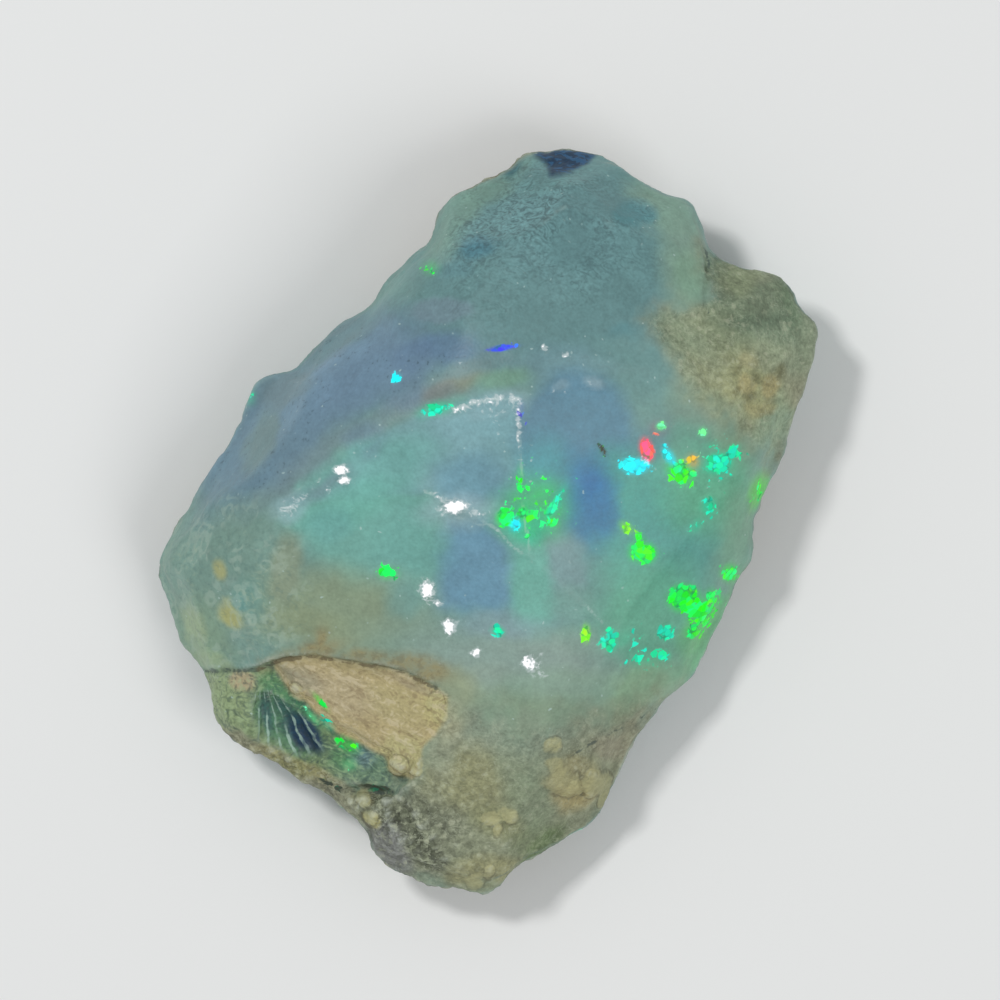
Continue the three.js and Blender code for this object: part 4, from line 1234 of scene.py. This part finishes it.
    # A painted highlight along the widest contour.
    opal.lay(mask.rim * wisp.between(0.4, 0.6) * 0.22, 0xD6DED4)
    # Pale frost, and painted highlights where the glints are.
    frost_and_painted_glint = (mask.glint + (felt - 0.5) * 1.6 + (fine - 0.5) * 0.9).between(0.42, 0.9)
    opal.lay(frost_and_painted_glint * (dust * 0.7 + 0.3), 0xCED8D8)
    # Painted glints: near-white highlights.
    painted_glint = (mask.glint + (fine - 0.5) * 1.2 + (dust - 0.5) * 0.7).between(0.78, 1.05)
    opal.lay(painted_glint * 0.92, 0xF0EEF0)

    # Flashes: small cells of silica spheres, each lit or not, with a painted glow.
    lit = (mask.fire + (chance - 0.5) * 0.7 + (fine - 0.5) * 0.9).between(0.5, 0.66)
    lit = lit * mask.fire.between(0.0, 0.08)
    flash = opal.painted_colour("fire_colour")
    sockets = {"Hue": shift * 0.05 + 0.48, "Value": power * 0.45 + 0.7, "Color": flash}
    tone = opal.node("ShaderNodeHueSaturation", None, sockets).outputs[0]
    core = mask.fire.between(1.0, 1.8)
    border = middle.between(0.5, 0.8) * wisp.between(0.4, 0.6) * (0.75 - core * 0.5)
    tone = opal.mix(border, tone, srgb(0x186048))
    haze = mask.fire.between(0.03, 0.9) * (wisp.between(0.3, 0.6) * 0.35 + 0.35)
    opal.lay(haze, flash)
    opal.lay(lit, tone)
    # Painted glow: the flashes and the glints are given emission, so they shine though no lamp lights them.
    painted_glow = opal.mix(lit * 0.5, (0.0, 0.0, 0.0), tone)
    painted_glow = opal.mix(painted_glint * 0.3, painted_glow, (0.8, 0.8, 0.8))

    rough = rock * 0.3 + mask.far_face * 0.1 + 0.44 + fine * 0.1 - painted_glint * 0.25
    height = dust * (mask.rock * 0.75 + 0.25)
    tooth = opal.node("ShaderNodeBump", None, {"Height": height, "Strength": 0.6, "Distance": 0.05 * MM})
    surface = opal.node("ShaderNodeBsdfPrincipled", None, {
        "Base Color": opal.base,
        "Roughness": rough.clamped(),
        "Normal": tooth.outputs[0],
        "IOR": 1.45,
        "Emission Color": painted_glow,
        "Emission Strength": 1.0,
    })
    opal.node("ShaderNodeOutputMaterial", None, {"Surface": surface.outputs[0]})
    opal.material.cycles.emission_sampling = "NONE"  # the flashes are too small to light anything else
    return opal.material


def floor_finish():
    paper = Finish("pale_paper")
    sockets = {"Base Color": (0.78, 0.78, 0.77), "Roughness": 0.9}
    surface = paper.node("ShaderNodeBsdfPrincipled", None, sockets)
    paper.node("ShaderNodeOutputMaterial", None, {"Surface": surface.outputs[0]})
    return paper.material


# The studio.

def make_floor(width=0.6):
    mesh = bpy.data.meshes.new("floor")
    half = width / 2
    corners = [(-half, -half, 0), (half, -half, 0), (half, half, 0), (-half, half, 0)]
    mesh.from_pydata(corners, [], [(0, 1, 2, 3)])
    mesh.materials.append(floor_finish())
    floor = bpy.data.objects.new("floor", mesh)
    bpy.context.scene.collection.objects.link(floor)


def add_lamp(name, place, size, power, colour=(1.0, 1.0, 1.0)):
    """A square lamp at a place in mm, aimed at the stone."""
    light = bpy.data.lights.new(name, "AREA")
    light.size = size * MM
    light.energy = power
    light.color = colour
    lamp = bpy.data.objects.new(name, light)
    lamp.location = Vector(place) * MM
    aim = Vector((0, 0, MIDDLE[2])) * MM - lamp.location
    lamp.rotation_euler = aim.to_track_quat("-Z", "Y").to_euler()
    bpy.context.scene.collection.objects.link(lamp)


def light_studio():
    world = bpy.data.worlds.new("studio")
    world.use_nodes = True
    background = world.node_tree.nodes["Background"]
    background.inputs["Color"].default_value = (0.95, 0.98, 1.0, 1.0)
    background.inputs["Strength"].default_value = 0.45
    bpy.context.scene.world = world
    add_lamp("key", (-110, 95, 285), 40, 0.4)
    add_lamp("fill", (160, -130, 290), 160, 0.33)


def add_camera():
    """Straight down, with the stone a little below and left of the middle of the picture."""
    view_width = (HIGH[0] - LOW[0]) * 34.0 / 22.6
    distance = 420.0
    camera = bpy.data.cameras.new("camera")
    camera.sensor_width = 36.0
    camera.lens = camera.sensor_width * distance / view_width
    camera.clip_start = 0.01
    holder = bpy.data.objects.new("camera", camera)
    widest_height = 3.0
    holder.location = Vector((MIDDLE[0] + 0.39, MIDDLE[1] + 0.75, widest_height + distance)) * MM
    bpy.context.scene.collection.objects.link(holder)
    bpy.context.scene.camera = holder


bpy.context.scene.view_settings.view_transform = "Standard"
stone = make_stone()
stone.data.materials.append(opal_finish())
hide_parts(NODE)
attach(stone, "root")
make_floor()
light_studio()
add_camera()
